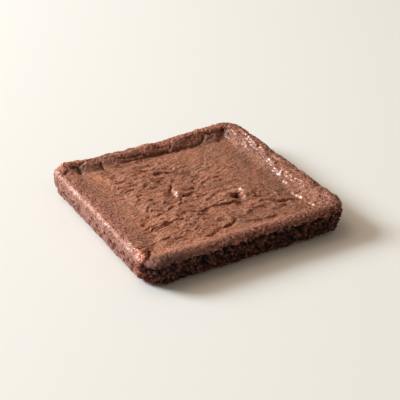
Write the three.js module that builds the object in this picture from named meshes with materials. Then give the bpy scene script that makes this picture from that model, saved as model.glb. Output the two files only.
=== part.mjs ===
// A whole chocolate brownie, baked in a square tin and turned out in one piece. A raised rim runs
// round a sunken, wrinkled top. Its left and front sides are smooth, its back and right sides broken
// and lumpy, and the walls lean in towards a rounded foot.
// Millimetres, +Z up. X runs along the front edge, Y goes from the front to the back, and the origin
// is under the middle of the brownie, on the surface that it stands on.

import * as THREE from 'three';

// Driving dimensions
const side = 200; // each edge, at the widest level, as the tin gives it
const rimHeight = 27.8; // the usual height of the rim's crest
const floorHeight = 20.8; // the sunken top, where it meets the rim
const cornerRadius = 23;
const cornerTightening = 0.8; // how much a corner's radius shrinks for each millimetre inwards
const leastCorner = 0.09; // the least corner radius, as a share of half the square
const footRadius = 10; // the rounded lower edge
const footShare = 0.45; // where the wall's rounded foot starts, from 0 at the shoulder to 1
const domeRise = 1.3; // the middle of the top above its edge
const leftRise = 3.2; // how much higher the top lies along the left rim
const leftReach = 0.36 * side; // where it is that much higher, left of the middle
const troughDepth = 0.7; // the sag along the inside of the rim
const troughPlace = 3; // its middle, inwards of the rim's foot
const troughWidth = 6;
const bellyReach = 0.8; // how far the wall bows out between its shoulder and its foot

// Mesh steps
const rings = 30; // from the middle of the top to its outer edge
const shoulderRings = 5; // of these, the ones on the rounded shoulder
const leastShare = 1e-6; // keeps the innermost ring from shrinking to nothing
const wallRings = 8; // from the shoulder down to the ground
const finestCrease = 2.3; // a crease narrower than this falls between the rings

// The rim from corner to corner. turn counts the sides from the front left corner, anticlockwise
// seen from above: front 0 to 1, right 1 to 2, back 2 to 3 and left 3 to 4. rise is added to the
// rim's usual height. The shoulder is a quarter of an ellipse that starts lean in from the outline,
// drop below the crest, and ends at the crest, crest in from the outline. The inner slope ends slope
// in, and taper is how far in the wall's foot is. lumps says how broken the rim is, from 0 for smooth.
const rimStations = [
  { turn: 0.0, rise: -0.6, lean: 1.2, drop: 8.0, crest: 9.0, slope: 22, taper: 6.0, lumps: 0.9 },
  { turn: 0.12, rise: -0.2, lean: 2.0, drop: 7.5, crest: 9.5, slope: 25, taper: 5.5, lumps: 0.3 },
  { turn: 0.5, rise: 0.0, lean: 2.5, drop: 7.0, crest: 9.5, slope: 27, taper: 5.3, lumps: 0.25 },
  { turn: 0.88, rise: 0.1, lean: 1.8, drop: 7.0, crest: 9.0, slope: 26, taper: 4.9, lumps: 0.4 },
  { turn: 1.0, rise: 0.2, lean: 0.4, drop: 6.5, crest: 8.0, slope: 24, taper: 3.2, lumps: 0.9 },
  { turn: 1.15, rise: 0.1, lean: 0.4, drop: 6.0, crest: 7.0, slope: 25, taper: 2.6, lumps: 0.5 },
  { turn: 1.5, rise: -0.2, lean: 0.6, drop: 5.5, crest: 7.0, slope: 25, taper: 2.4, lumps: 0.4 },
  { turn: 1.85, rise: 0.2, lean: 0.4, drop: 5.5, crest: 8.0, slope: 24, taper: 2.4, lumps: 0.5 },
  { turn: 2.0, rise: 0.6, lean: 0.3, drop: 6.0, crest: 8.0, slope: 23, taper: 2.4, lumps: 1.0 },
  { turn: 2.14, rise: -1.0, lean: 0.6, drop: 5.5, crest: 10, slope: 23, taper: 2.4, lumps: 1.0 },
  { turn: 2.5, rise: -2.4, lean: 1.5, drop: 5.5, crest: 12, slope: 24, taper: 2.8, lumps: 1.0 },
  { turn: 2.84, rise: -1.6, lean: 1.0, drop: 5.5, crest: 11, slope: 24, taper: 2.6, lumps: 1.0 },
  { turn: 3.0, rise: 0.2, lean: 1.0, drop: 6.5, crest: 9.0, slope: 26, taper: 3.2, lumps: 1.0 },
  { turn: 3.16, rise: -0.1, lean: 1.8, drop: 6.0, crest: 7.5, slope: 34, taper: 3.8, lumps: 0.3 },
  { turn: 3.5, rise: 0.1, lean: 2.8, drop: 6.0, crest: 8.0, slope: 38, taper: 3.8, lumps: 0.1 },
  { turn: 3.86, rise: -0.1, lean: 2.2, drop: 6.5, crest: 8.0, slope: 34, taper: 4.0, lumps: 0.2 },
];

// Creases and tears, pressed into the surface along a straight stretch
const creases = [
  // The pit left of the middle, with its crack
  { from: [-22, 1, 22], to: [-18, 9, 22], width: 2.0, depth: 3.2 },
  { from: [-18, 9, 22], to: [-14, 16, 22], width: 1.6, depth: 1.8 },
  { from: [-12, 18, 22], to: [-7, 24, 22], width: 1.5, depth: 0.9 },
  // The pit right of the middle, with its groove
  { from: [27, -33, 21], to: [29, -25, 21], width: 2.6, depth: 3.0 },
  { from: [44, -36, 22], to: [53, -40, 22], width: 1.8, depth: 1.3 },
  // Long creases behind the middle
  { from: [-18, 38, 22], to: [4, 34, 22], width: 1.9, depth: 1.3 },
  { from: [6, 31, 22], to: [13, 29, 22], width: 1.9, depth: 1.1 },
  { from: [-64, 34, 23], to: [-38, 33, 22], width: 1.6, depth: 1.1 },
  { from: [-62, 22, 23], to: [-50, 23, 22], width: 1.6, depth: 1.1 },
  { from: [3, 13, 22], to: [16, 20, 22], width: 2.2, depth: 0.9 },
  // Long creases in front of the middle
  { from: [-28, -73, 22], to: [-8, -67, 22], width: 2.0, depth: 1.2 },
  { from: [-8, -67, 22], to: [6, -61, 22], width: 2.2, depth: 1.4 },
  { from: [14, -62, 22], to: [30, -61, 22], width: 2.4, depth: 1.1 },
  { from: [-66, -46, 24], to: [-48, -42, 23], width: 1.8, depth: 1.1 },
  // The cracks of the back left corner
  { from: [-76, 72, 24], to: [-74, 87, 25], width: 2.2, depth: 2.1 },
  { from: [-53, 69, 22], to: [-52, 82, 24], width: 2.0, depth: 1.6 },
  { from: [-90, 80, 27], to: [-76, 84, 26], width: 1.8, depth: 1.3 },
  { from: [-54, 62, 22], to: [-54, 41, 22], width: 1.3, depth: 0.8 },
  // The fold at the back right corner, and the shaded fold along the foot of the back rim
  { from: [69, 72, 22], to: [83, 87, 25], width: 2.3, depth: 3.0 },
  { from: [-28, 78, 21], to: [50, 76, 21], width: 2.2, depth: 1.7 },
  // The split at the front left corner, over the top and down the wall
  { from: [-85, -78, 26], to: [-94, -88, 26], width: 1.9, depth: 2.4 },
  { from: [-94, -88, 26], to: [-92, -91, 8], width: 2.6, depth: 1.6 },
  // Small tears in the edge of the front rim
  { from: [1, -88, 28], to: [7, -97, 25], width: 1.8, depth: 1.5 },
  { from: [-17, -92, 28], to: [-16, -96, 25], width: 1.8, depth: 1.4 },
  // Dips in the back rim and the notch low on the right corner
  { from: [-54, 98, 25], to: [-53, 86, 25], width: 2.6, depth: 1.3 },
  { from: [11, 98, 25], to: [12, 88, 25], width: 2.4, depth: 1.1 },
  { from: [96, -92, 12], to: [99, -84, 9], width: 5.0, depth: 2.6 },
];

// Raised flaps and lumps: middle, half length and half width, heading in degrees, and rise
const lumps = [
  { at: [-8, 4], reach: [9.0, 4.6], heading: 4, rise: 1.5 },
  { at: [40, -29], reach: [6.5, 3.8], heading: -20, rise: 1.2 },
  { at: [18, -20], reach: [6.0, 4.0], heading: 10, rise: 0.9 },
  { at: [-64, 78], reach: [10.0, 6.5], heading: 6, rise: 2.0 },
  { at: [-84, 88], reach: [6.5, 5.5], heading: 0, rise: 1.3 },
  { at: [-88, -71], reach: [6.0, 7.0], heading: 0, rise: 1.2 },
  { at: [-79, -86], reach: [10.0, 4.0], heading: 8, rise: 1.0 },
  { at: [92, -78], reach: [7.0, 8.0], heading: 20, rise: 0.9 },
  { at: [64, 79], reach: [11.0, 4.5], heading: 14, rise: 1.6 },
  { at: [22, 78], reach: [5.0, 4.0], heading: 20, rise: 1.6 },
  { at: [-18, 75], reach: [6.5, 3.6], heading: 0, rise: 1.1 },
];
const lumpEdge = [0.45, 1.25]; // from a lump's flat top to its foot, in units of its reach

// The wrinkled crust of the sunken top. Each set of folds is a ridged pattern stretched along its
// heading, and it fades out away from its own middle.
const wrinkleSets = [
  { seed: 3, heading: -14, length: 15, spacing: 8.5, rise: 1.4, at: [-8, -2], reach: 78 },
  { seed: 7, heading: 28, length: 17, spacing: 8.0, rise: 1.3, at: [-48, -46], reach: 44 },
  { seed: 11, heading: -20, length: 13, spacing: 7.0, rise: 1.1, at: [36, -48], reach: 52 },
  { seed: 17, heading: 6, length: 12, spacing: 7.0, rise: 1.1, at: [-20, 42], reach: 46 },
];
const foldMiddle = 0.3; // the level of a fold's flank, so that folds rise and sink about the crust
const foldBend = { size: 21, reach: 5, seeds: [51, 53] }; // the slow noise that bends the folds
const foldFade = 0.35; // the share of a set's reach where its folds are at full height
const leftCalm = [-78, -58]; // along X, from no folds on the left band to full folds
const cornerCalm = { from: 24, to: 72, share: 0.75 }; // the calmer crust at the back right

// Random-looking relief from fixed seeds
const wallRelief = [
  { seed: 21, size: 16, depth: 0.9 },
  { seed: 23, size: 7.5, depth: 0.75 },
];
const calmWall = 0.35; // how much of the wall's relief is left where the rim is smooth
const rimLumps = [
  { seed: 31, size: 16, depth: 1.4 },
  { seed: 37, size: 8, depth: 0.6 },
];
const floorRelief = { seed: 41, size: 26, depth: 0.8 };

const clamp01 = (value) => Math.min(1, Math.max(0, value));
const mix = (a, b, share) => a + (b - a) * share;
const smooth = (value) => value * value * (3 - 2 * value);
const smoothStep = (low, high, value) => smooth(clamp01((value - low) / (high - low)));

// A fixed number between 0 and 1 for each corner of a cubic lattice
function latticeValue(x, y, z, seed) {
  let h = Math.imul(x, 374761393) + Math.imul(y, 668265263) + Math.imul(z, 1274126177);
  h = Math.imul(h + Math.imul(seed, 1013904223), 1664525);
  h = Math.imul(h ^ (h >>> 13), 1274126177);
  return ((h ^ (h >>> 16)) >>> 0) / 4294967296;
}

// Smooth noise from -1 to 1: the lattice values blended along X, then Y, then Z
function noise(x, y, z, seed) {
  const [i, j, k] = [Math.floor(x), Math.floor(y), Math.floor(z)];
  const [u, v, w] = [smooth(x - i), smooth(y - j), smooth(z - k)];
  const alongX = (b, c) =>
    mix(latticeValue(i, j + b, k + c, seed), latticeValue(i + 1, j + b, k + c, seed), u);
  const alongY = (c) => mix(alongX(0, c), alongX(1, c), v);
  return 2 * mix(alongY(0), alongY(1), w) - 1;
}

// Sum of noises of several sizes at a point, in millimetres
function relief(layers, x, y, z) {
  let sum = 0;
  for (const { seed, size, depth } of layers) {
    sum += depth * noise(x / size, y / size, z / size, seed);
  }
  return sum;
}

// The rim's values at a place along it, eased from one station to the next
function rimAt(turn) {
  const count = rimStations.length;
  let next = rimStations.findIndex((station) => station.turn > turn);
  if (next < 0) next = count;
  const before = rimStations[next - 1];
  const after = rimStations[next % count];
  const gap = (next === count ? 4 : after.turn) - before.turn;
  const share = smooth((turn - before.turn) / gap);
  const eased = {};
  for (const name of Object.keys(before)) eased[name] = mix(before[name], after[name], share);
  eased.height = rimHeight + eased.rise;
  return eased;
}

// A point of the rounded square that lies inset from the brownie's outline, with its outward
// direction. turn runs evenly along the square, from the middle of one rounded corner to the next.
function outlinePoint(inset, turn) {
  const half = side / 2 - inset;
  const radius = Math.max(cornerRadius - cornerTightening * inset, leastCorner * half);
  const quarter = Math.floor(turn) % 4;
  const arc = (radius * Math.PI) / 4;
  const straight = 2 * (half - radius);
  const run = (turn - Math.floor(turn)) * (straight + 2 * arc);
  const middle = half - radius;
  let x;
  let y;
  let heading;
  if (run < arc || run > arc + straight) {
    const first = run < arc;
    const bend = first ? run / radius - Math.PI / 4 : (run - arc - straight) / radius;
    heading = bend;
    x = (first ? -middle : middle) + radius * Math.sin(bend);
    y = -middle - radius * Math.cos(bend);
  } else {
    heading = 0;
    x = run - arc - middle;
    y = -half;
  }
  const spin = (quarter * Math.PI) / 2;
  const [c, s] = [Math.cos(spin), Math.sin(spin)];
  const [nx, ny] = [Math.sin(heading), -Math.cos(heading)];
  return { x: c * x - s * y, y: s * x + c * y, nx: c * nx - s * ny, ny: s * nx + c * ny };
}

// How deep the creases are at a point: each is a bell shape about its straight stretch
function creaseDepth(x, y, z) {
  let depth = 0;
  for (const crease of creases) {
    const [ax, ay, az] = crease.from;
    const run = crease.to.map((value, axis) => value - crease.from[axis]);
    const length2 = run[0] ** 2 + run[1] ** 2 + run[2] ** 2;
    const along = (x - ax) * run[0] + (y - ay) * run[1] + (z - az) * run[2];
    const share = clamp01(along / length2);
    const away = [x - ax - share * run[0], y - ay - share * run[1], z - az - share * run[2]];
    const width = Math.max(crease.width, finestCrease);
    const far2 = (away[0] ** 2 + away[1] ** 2 + away[2] ** 2) / width ** 2;
    depth = Math.max(depth, crease.depth * Math.exp(-far2));
  }
  return depth;
}

// Turned and measured from a middle, in units of the reach along and across
function turned(x, y, at, heading) {
  const angle = (heading * Math.PI) / 180;
  const [dx, dy] = [x - at[0], y - at[1]];
  return [dx * Math.cos(angle) + dy * Math.sin(angle), dy * Math.cos(angle) - dx * Math.sin(angle)];
}

// Height of the flaps and lumps: a flat-topped mound each
function lumpHeight(x, y) {
  let height = 0;
  for (const { at, reach, heading, rise } of lumps) {
    const [along, across] = turned(x, y, at, heading);
    const far = Math.hypot(along / reach[0], across / reach[1]);
    height += rise * (1 - smoothStep(lumpEdge[0], lumpEdge[1], far));
  }
  return height;
}

// Height of the wrinkles: folds with narrow crests, bent by a slow noise, strongest near each set's
// middle, gone on the smooth band along the left rim and lower at the back right
function wrinkleHeight(x, y) {
  const { size, reach: bend, seeds } = foldBend;
  const [bx, by] = [x, y].map((value, axis) => value + bend * noise(x / size, y / size, 0.5, seeds[axis]));
  let height = 0;
  for (const { seed, heading, length, spacing, rise, at, reach } of wrinkleSets) {
    const [along, across] = turned(bx, by, at, heading);
    const fold = 1 - 2 * Math.abs(noise(along / length, across / spacing, 0.5, seed));
    const fade = 1 - smoothStep(foldFade * reach, reach, Math.hypot(x - at[0], y - at[1]));
    height += rise * fade * (fold - foldMiddle);
  }
  const calm = 1 - cornerCalm.share * smoothStep(cornerCalm.from, cornerCalm.to, (x + y) / 2);
  return height * calm * smoothStep(leftCalm[0], leftCalm[1], x);
}

// The sunken top: a low dome with a sag along the rim, higher towards the left, and slow swells
function floorAt(x, y, inset, slope) {
  const out = clamp01((side / 2 - inset) / (side / 2 - slope));
  const dome = domeRise * (1 - out * out);
  const trough = troughDepth * Math.exp(-(((inset - slope - troughPlace) / troughWidth) ** 2));
  const leftward = leftRise * smoothStep(0, leftReach, -x);
  const { seed, size, depth } = floorRelief;
  const swell = depth * noise(x / size, y / size, 0, seed);
  return floorHeight + dome - trough + leftward + swell;
}

// How far the surface stands out of its plain form at a point of the wall. broken is the rim's
// lumps there: the wall is calmer below a smooth rim.
function wallPush(x, y, z, broken) {
  const share = mix(calmWall, 1, clamp01(2 * broken));
  return share * relief(wallRelief, x, y, z) - creaseDepth(x, y, z);
}

// A point of the top. The shoulder is a quarter of an ellipse, at angles from 0 on the wall to a
// right angle on the crest. Behind it the inner slope eases down to the floor, and inward runs from
// 0 at the crest to 1 in the middle.
function topPoint(angle, inward, turn) {
  const rim = rimAt(turn);
  const onShoulder = inward === 0;
  const inset = onShoulder
    ? mix(rim.lean, rim.crest, 1 - Math.cos(angle))
    : mix(rim.crest, side / 2, inward);
  const place = outlinePoint(inset, turn);
  const onRim = 1 - smooth(clamp01((inset - rim.crest) / (rim.slope - rim.crest)));
  const floor = floorAt(place.x, place.y, inset, rim.slope);
  const below = onShoulder ? rim.drop * (1 - Math.sin(angle)) : 0;
  const level = onShoulder ? smooth(Math.sin(angle)) : 1;
  const broken = relief(rimLumps, place.x, place.y, 0) * rim.lumps * onRim * level;
  let z = mix(floor, rim.height, onRim) - below + broken;
  z += lumpHeight(place.x, place.y) * level;
  z += wrinkleHeight(place.x, place.y) * (1 - onRim);
  z -= creaseDepth(place.x, place.y, z) * level;
  const push = wallPush(place.x, place.y, z, rim.lumps) * (1 - level);
  return [place.x + place.nx * push, place.y + place.ny * push, z];
}

// A point of the wall. share runs from 0 at the shoulder to 1 on the ground: a stretch that bows
// out, then a quarter circle round the foot.
function wallPoint(share, turn) {
  const rim = rimAt(turn);
  const top = rim.height - rim.drop;
  const inFoot = clamp01((share - footShare) / (1 - footShare)) * (Math.PI / 2);
  const upright = clamp01(share / footShare);
  const z = share < footShare ? mix(top, footRadius, upright) : footRadius * (1 - Math.sin(inFoot));
  const belly = bellyReach * Math.sin(Math.PI * upright);
  const foot = footRadius * (1 - Math.cos(inFoot));
  const place = outlinePoint(mix(rim.lean, rim.taper, upright) - belly + foot, turn);
  const push = wallPush(place.x, place.y, z, rim.lumps) * smoothStep(0, footRadius / 2, z);
  return [place.x + place.nx * push, place.y + place.ny * push, z];
}

// The top is a square net of quads. Net square number r round the middle becomes ring r, so its
// sides and corners follow the brownie's. The outer rings go round the shoulder in even steps of
// its angle, and the others run in even steps from the crest to the middle.
function netPoint(column, row) {
  const u = column - rings;
  const v = row - rings;
  const ring = Math.max(Math.abs(u), Math.abs(v));
  const steps = 2 * ring || 1;
  let turn;
  if (v === -ring && u < ring) turn = (u + ring) / steps;
  else if (u === ring && v < ring) turn = 1 + (v + ring) / steps;
  else if (v === ring && u > -ring) turn = 2 + (ring - u) / steps;
  else turn = 3 + (ring - v) / steps;
  const fromEdge = rings - ring;
  const angle = (Math.min(1, fromEdge / shoulderRings) * Math.PI) / 2;
  const inward = Math.max(0, fromEdge - shoulderRings) / (rings - shoulderRings);
  return topPoint(angle, Math.min(inward, 1 - leastShare), turn % 4);
}

function brownieGeometry() {
  const points = [];
  const faces = [];
  const across = 2 * rings + 1;
  for (let row = 0; row < across; row++) {
    for (let column = 0; column < across; column++) points.push(netPoint(column, row));
  }
  const at = (column, row) => row * across + column;
  for (let row = 0; row < across - 1; row++) {
    for (let column = 0; column < across - 1; column++) {
      const corner = [at(column, row), at(column + 1, row), at(column + 1, row + 1), at(column, row + 1)];
      const rising = (column < rings) === (row < rings);
      const [a, b, c, d] = rising ? corner : [...corner.slice(1), corner[0]];
      faces.push(a, b, c, a, c, d);
    }
  }

  // The net's outer square, in the order of the turns, then the rings of the wall below it
  const last = across - 1;
  const round = 4 * last;
  let upper = Array.from({ length: round }, (_, step) => {
    const run = step % last;
    return [at(run, 0), at(last, run), at(last - run, last), at(0, last - run)][Math.floor(step / last)];
  });
  for (let ring = 1; ring <= wallRings; ring++) {
    const lower = upper.map((_, step) => {
      points.push(wallPoint(ring / wallRings, (4 * step) / round));
      return points.length - 1;
    });
    upper.forEach((a, step) => {
      const next = (step + 1) % round;
      faces.push(a, lower[step], upper[next], upper[next], lower[step], lower[next]);
    });
    upper = lower;
  }

  // The flat underside
  const outline = upper.map((index) => new THREE.Vector2(points[index][0], points[index][1]));
  for (const [a, b, c] of THREE.ShapeUtils.triangulateShape(outline, [])) {
    faces.push(upper[a], upper[c], upper[b]);
  }

  const geometry = new THREE.BufferGeometry();
  geometry.setAttribute('position', new THREE.Float32BufferAttribute(points.flat(), 3));
  geometry.setIndex(faces);
  geometry.computeBoundingBox();
  const middle = geometry.boundingBox.getCenter(new THREE.Vector3());
  geometry.translate(-middle.x, -middle.y, 0);
  geometry.computeVertexNormals();
  return geometry;
}

const bakedCrust = new THREE.MeshStandardMaterial({ color: '#9a6450', roughness: 0.62, metalness: 0 });
const slab = new THREE.Mesh(brownieGeometry(), bakedCrust);
slab.name = 'brownie';

const brownie = new THREE.Group();
brownie.add(slab);

export default brownie;
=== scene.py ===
"""A whole chocolate brownie, baked in a square tin and turned out in one piece.

Laid out as a Blender add-on and run as a script. The shape functions work in millimetres, with X
along the front edge, Y from front to back and Z up. Meshes are in metres.
"""

from functools import partial, reduce
from types import SimpleNamespace

import bpy
import numpy as np
from bpy.props import FloatProperty, FloatVectorProperty, IntProperty, PointerProperty
from bpy.types import Operator, Panel, PropertyGroup
from mathutils import Matrix, Vector


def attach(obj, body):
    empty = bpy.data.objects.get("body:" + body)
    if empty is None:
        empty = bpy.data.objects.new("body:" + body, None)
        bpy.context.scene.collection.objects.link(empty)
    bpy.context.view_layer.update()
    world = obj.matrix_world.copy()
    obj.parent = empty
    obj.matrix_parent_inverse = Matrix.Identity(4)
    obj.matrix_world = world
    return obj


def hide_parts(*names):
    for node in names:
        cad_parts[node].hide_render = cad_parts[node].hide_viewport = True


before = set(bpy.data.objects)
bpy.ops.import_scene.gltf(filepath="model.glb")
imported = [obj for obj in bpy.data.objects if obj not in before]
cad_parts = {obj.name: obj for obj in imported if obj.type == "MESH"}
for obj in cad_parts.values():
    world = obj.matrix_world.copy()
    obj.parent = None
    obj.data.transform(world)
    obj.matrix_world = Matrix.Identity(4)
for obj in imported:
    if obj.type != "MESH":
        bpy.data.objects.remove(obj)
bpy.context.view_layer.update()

bl_info = {
    "name": "Chocolate brownie",
    "version": (1, 0, 0),
    "blender": (4, 5, 0),
    "location": "View3D > Sidebar > Brownie",
    "description": "Makes a whole chocolate brownie with its crust, crumb and flakes",
    "category": "Add Mesh",
}

MM = 0.001

# The rim from corner to corner. turn counts the sides from the front left corner, anticlockwise
# seen from above: front 0 to 1, right 1 to 2, back 2 to 3 and left 3 to 4. rise is added to the
# rim's usual height. The shoulder is a quarter of an ellipse that starts lean in from the outline,
# drop below the crest, and ends at the crest, crest in from the outline. The inner slope ends slope
# in, and taper is how far in the wall's foot is. lumps says how broken the rim is.
RIM_STATIONS = (
    # turn, rise, lean, drop, crest, slope, taper, lumps
    (0.0, -0.6, 1.2, 8.0, 9.0, 22, 6.0, 0.9),
    (0.12, -0.2, 2.0, 7.5, 9.5, 25, 5.5, 0.3),
    (0.5, 0.0, 2.5, 7.0, 9.5, 27, 5.3, 0.25),
    (0.88, 0.1, 1.8, 7.0, 9.0, 26, 4.9, 0.4),
    (1.0, 0.2, 0.4, 6.5, 8.0, 24, 3.2, 0.9),
    (1.15, 0.1, 0.4, 6.0, 7.0, 25, 2.6, 0.5),
    (1.5, -0.2, 0.6, 5.5, 7.0, 25, 2.4, 0.4),
    (1.85, 0.2, 0.4, 5.5, 8.0, 24, 2.4, 0.5),
    (2.0, 0.6, 0.3, 6.0, 8.0, 23, 2.4, 1.0),
    (2.14, -1.0, 0.6, 5.5, 10, 23, 2.4, 1.0),
    (2.5, -2.4, 1.5, 5.5, 12, 24, 2.8, 1.0),
    (2.84, -1.6, 1.0, 5.5, 11, 24, 2.6, 1.0),
    (3.0, 0.2, 1.0, 6.5, 9.0, 26, 3.2, 1.0),
    (3.16, -0.1, 1.8, 6.0, 7.5, 34, 3.8, 0.3),
    (3.5, 0.1, 2.8, 6.0, 8.0, 38, 3.8, 0.1),
    (3.86, -0.1, 2.2, 6.5, 8.0, 34, 4.0, 0.2),
)

# Creases and cracks, pressed in along a straight stretch
CREASES = (
    # from, to, width, depth
    ((-22, 1, 22), (-18, 9, 22), 2.0, 3.2),
    ((-18, 9, 22), (-14, 16, 22), 1.6, 1.8),
    ((-12, 18, 22), (-7, 24, 22), 1.5, 0.9),
    ((27, -33, 21), (29, -25, 21), 2.6, 3.0),
    ((44, -36, 22), (53, -40, 22), 1.8, 1.3),
    ((-18, 38, 22), (4, 34, 22), 1.9, 1.3),
    ((6, 31, 22), (13, 29, 22), 1.9, 1.1),
    ((-64, 34, 23), (-38, 33, 22), 1.6, 1.1),
    ((-62, 22, 23), (-50, 23, 22), 1.6, 1.1),
    ((3, 13, 22), (16, 20, 22), 2.2, 0.9),
    ((-28, -73, 22), (-8, -67, 22), 2.0, 1.2),
    ((-8, -67, 22), (6, -61, 22), 2.2, 1.4),
    ((14, -62, 22), (30, -61, 22), 2.4, 1.1),
    ((-66, -46, 24), (-48, -42, 23), 1.8, 1.1),
    ((-76, 72, 24), (-74, 87, 25), 2.2, 2.1),
    ((-53, 69, 22), (-52, 82, 24), 2.0, 1.6),
    ((-90, 80, 27), (-76, 84, 26), 1.8, 1.3),
    ((-54, 62, 22), (-54, 41, 22), 1.3, 0.8),
    ((69, 72, 22), (83, 87, 25), 2.3, 3.0),
    ((-28, 78, 21), (50, 76, 21), 2.2, 1.7),
    ((-85, -78, 26), (-94, -88, 26), 1.9, 2.4),
    ((-94, -88, 26), (-92, -91, 8), 2.6, 1.6),
    ((1, -88, 28), (7, -97, 25), 1.8, 1.5),
    ((-17, -92, 28), (-16, -96, 25), 1.8, 1.4),
    ((-54, 98, 25), (-53, 86, 25), 2.6, 1.3),
    ((11, 98, 25), (12, 88, 25), 2.4, 1.1),
    ((96, -92, 12), (99, -84, 9), 5.0, 2.6),
)

# Thin cracks of the crust, too narrow for the solid, each through its places from end to end
CRACKS = (
    # width, depth, places
    (1.1, 1.5, ((-73, 85, 26), (-69, 87, 26), (-64, 90, 26), (-58, 91, 26))),
    (1.0, 1.0, ((-73, 82, 25), (-76, 71, 25))),
    (1.1, 1.5, ((-72, 78, 25), (-67, 82, 25), (-65, 81, 25))),
    (2.0, 1.2, ((-80, 82, 24), (-73, 85, 24))),
    (2.4, 1.0, ((-93, 73, 26), (-88, 76, 26))),
    (1.0, 1.5, ((-76, 97, 27), (-74, 88, 27))),
    (1.0, 1.5, ((-51, 84, 24), (-53, 77, 24), (-54, 70, 23))),
    (1.0, 1.1, ((-51, 90, 25), (-44, 85, 25))),
    (1.0, 1.2, ((-30, 91, 25), (-23, 86, 25), (-18, 82, 25), (-15, 78, 24))),
    (1.2, 1.3, ((-33, 82, 22), (-22, 81, 22), (-11, 82, 22), (-7, 79, 22), (2, 77, 22))),
    (1.2, 1.4, ((2, 77, 22), (13, 79, 22), (23, 74, 22), (31, 79, 22), (37, 75, 22))),
    (1.2, 1.3, ((37, 75, 22), (43, 77, 22), (53, 78, 22), (59, 85, 22))),
    (0.9, 0.9, ((21, 83, 23), (17, 76, 23))),
    (0.9, 0.9, ((27, 79, 23), (24, 73, 23))),
    (1.0, 1.2, ((54, 87, 24), (62, 86, 24), (69, 84, 24), (80, 85, 24))),
    (1.0, 1.2, ((71, 70, 23), (80, 79, 24), (86, 86, 25))),
    (1.0, 1.2, ((-60, 97, 26), (-48, 96, 25))),
    (1.0, 1.2, ((-6, 93, 25), (4, 88, 24), (9, 84, 24))),
    (1.0, 1.2, ((34, 92, 25), (44, 86, 24))),
    (1.0, 1.4, ((-82, -74, 25), (-86, -80, 25), (-90, -87, 25), (-91, -92, 20))),
    (1.1, 1.4, ((2, -91, 27), (5, -95, 27))),
    (0.9, 1.2, ((92, -10, 26), (88, -22, 25))),
)
CRACK_BEND = (3.0, 0.8, 151)  # size, reach and seed of the noise that bends the thin cracks
CRACK_CHANGES = (5, 157)  # size and seed of the noise that changes their depth,
CRACK_DEPTHS = (0.7, 1.15)  # between these shares
CRACK_FLAT = 0.3  # how much a difference in height counts on the top, against one along it

# The larger holes of the open crumb
CRUMB_PLACES = (
    # x, y, z, radius
    (-85, -98, 20, 1.5), (-71, -98, 27, 1.4), (-62, -98, 25, 1.5), (-68, -98, 24, 1.3),
    (-72, -98, 21, 1.3), (-78, -98, 14, 1.3), (-49, -98, 20, 1.6), (-46, -98, 16, 1.5),
    (-44, -98, 24, 1.5), (-50, -98, 13, 1.2), (-40, -98, 12, 1.3), (-34, -98, 19, 1.6),
    (-32, -98, 11, 1.2), (-27, -98, 22, 2.0), (-21, -98, 23, 1.5), (-23, -98, 18, 1.5),
    (-8, -98, 15, 1.6), (3, -93, 27, 1.2), (18, -98, 22, 2.0), (25, -98, 16, 2.6),
    (26, -98, 26, 1.3), (-1, -98, 18, 2.0), (-1, -98, 26, 1.0), (41, -98, 16, 1.1),
    (48, -98, 17, 2.1), (59, -98, 22, 2.1), (62, -98, 16, 1.5), (70, -98, 17, 1.4),
    (75, -98, 18, 1.4), (30, -98, 11, 2.0), (36, -98, 11, 1.3), (-97.5, -84.5, 23, 1.4),
    (-98.5, -82.5, 19, 1.6), (-97, -87, 20, 1.1), (-96, -89, 17, 2.0), (-94, -91, 14, 1.9),
    (-97, -86, 14, 1.2), (-93, -91, 21, 1.7), (-90, -95, 21, 2.0),
)

# Small pits of the smooth left wall, in clusters
WALL_PITS = (
    # y, z, radius
    (63, 15, 1.0), (60, 13, 1.3), (56, 14, 1.0), (52, 19, 0.8), (48, 12, 1.3), (45, 15, 1.0),
    (44, 10, 1.1), (40, 17, 0.9), (36, 11, 1.2), (33, 9, 0.9), (31, 14, 1.2), (29, 18, 0.9),
    (21, 12, 0.9), (12, 9, 1.0), (7, 14, 1.1), (4, 19, 0.9), (1, 8, 1.2), (-3, 12, 1.0),
    (-6, 17, 1.3), (-8, 13, 1.1), (-11, 9, 1.2), (-17, 14, 0.9), (-22, 18, 1.0), (-26, 11, 1.2),
    (-31, 15, 1.4), (-34, 10, 1.0), (-37, 14, 1.6), (-41, 17, 1.2), (-44, 12, 1.3), (-47, 8, 1.1),
    (-52, 15, 1.5), (-55, 10, 1.2), (-58, 18, 1.3), (-62, 13, 1.6), (-66, 17, 1.2), (-68, 9, 1.4),
    (-72, 14, 1.7), (-76, 19, 1.3), (-77, 10, 1.5),
)

# Raised flaps and lumps of the top
LUMPS = (
    # middle, half length and half width, heading in degrees, rise
    ((-8, 4), (9.0, 4.6), 4, 1.5),
    ((40, -29), (6.5, 3.8), -20, 1.2),
    ((18, -20), (6.0, 4.0), 10, 0.9),
    ((-64, 78), (10.0, 6.5), 6, 2.0),
    ((-84, 88), (6.5, 5.5), 0, 1.3),
    ((-88, -71), (6.0, 7.0), 0, 1.2),
    ((-79, -86), (10.0, 4.0), 8, 1.0),
    ((92, -78), (7.0, 8.0), 20, 0.9),
    ((64, 79), (11.0, 4.5), 14, 1.6),
    ((22, 78), (5.0, 4.0), 20, 1.6),
    ((-18, 75), (6.5, 3.6), 0, 1.1),
)
LUMP_EDGE = (0.45, 1.25)  # from a lump's flat top to its foot, in units of its reach

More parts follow.
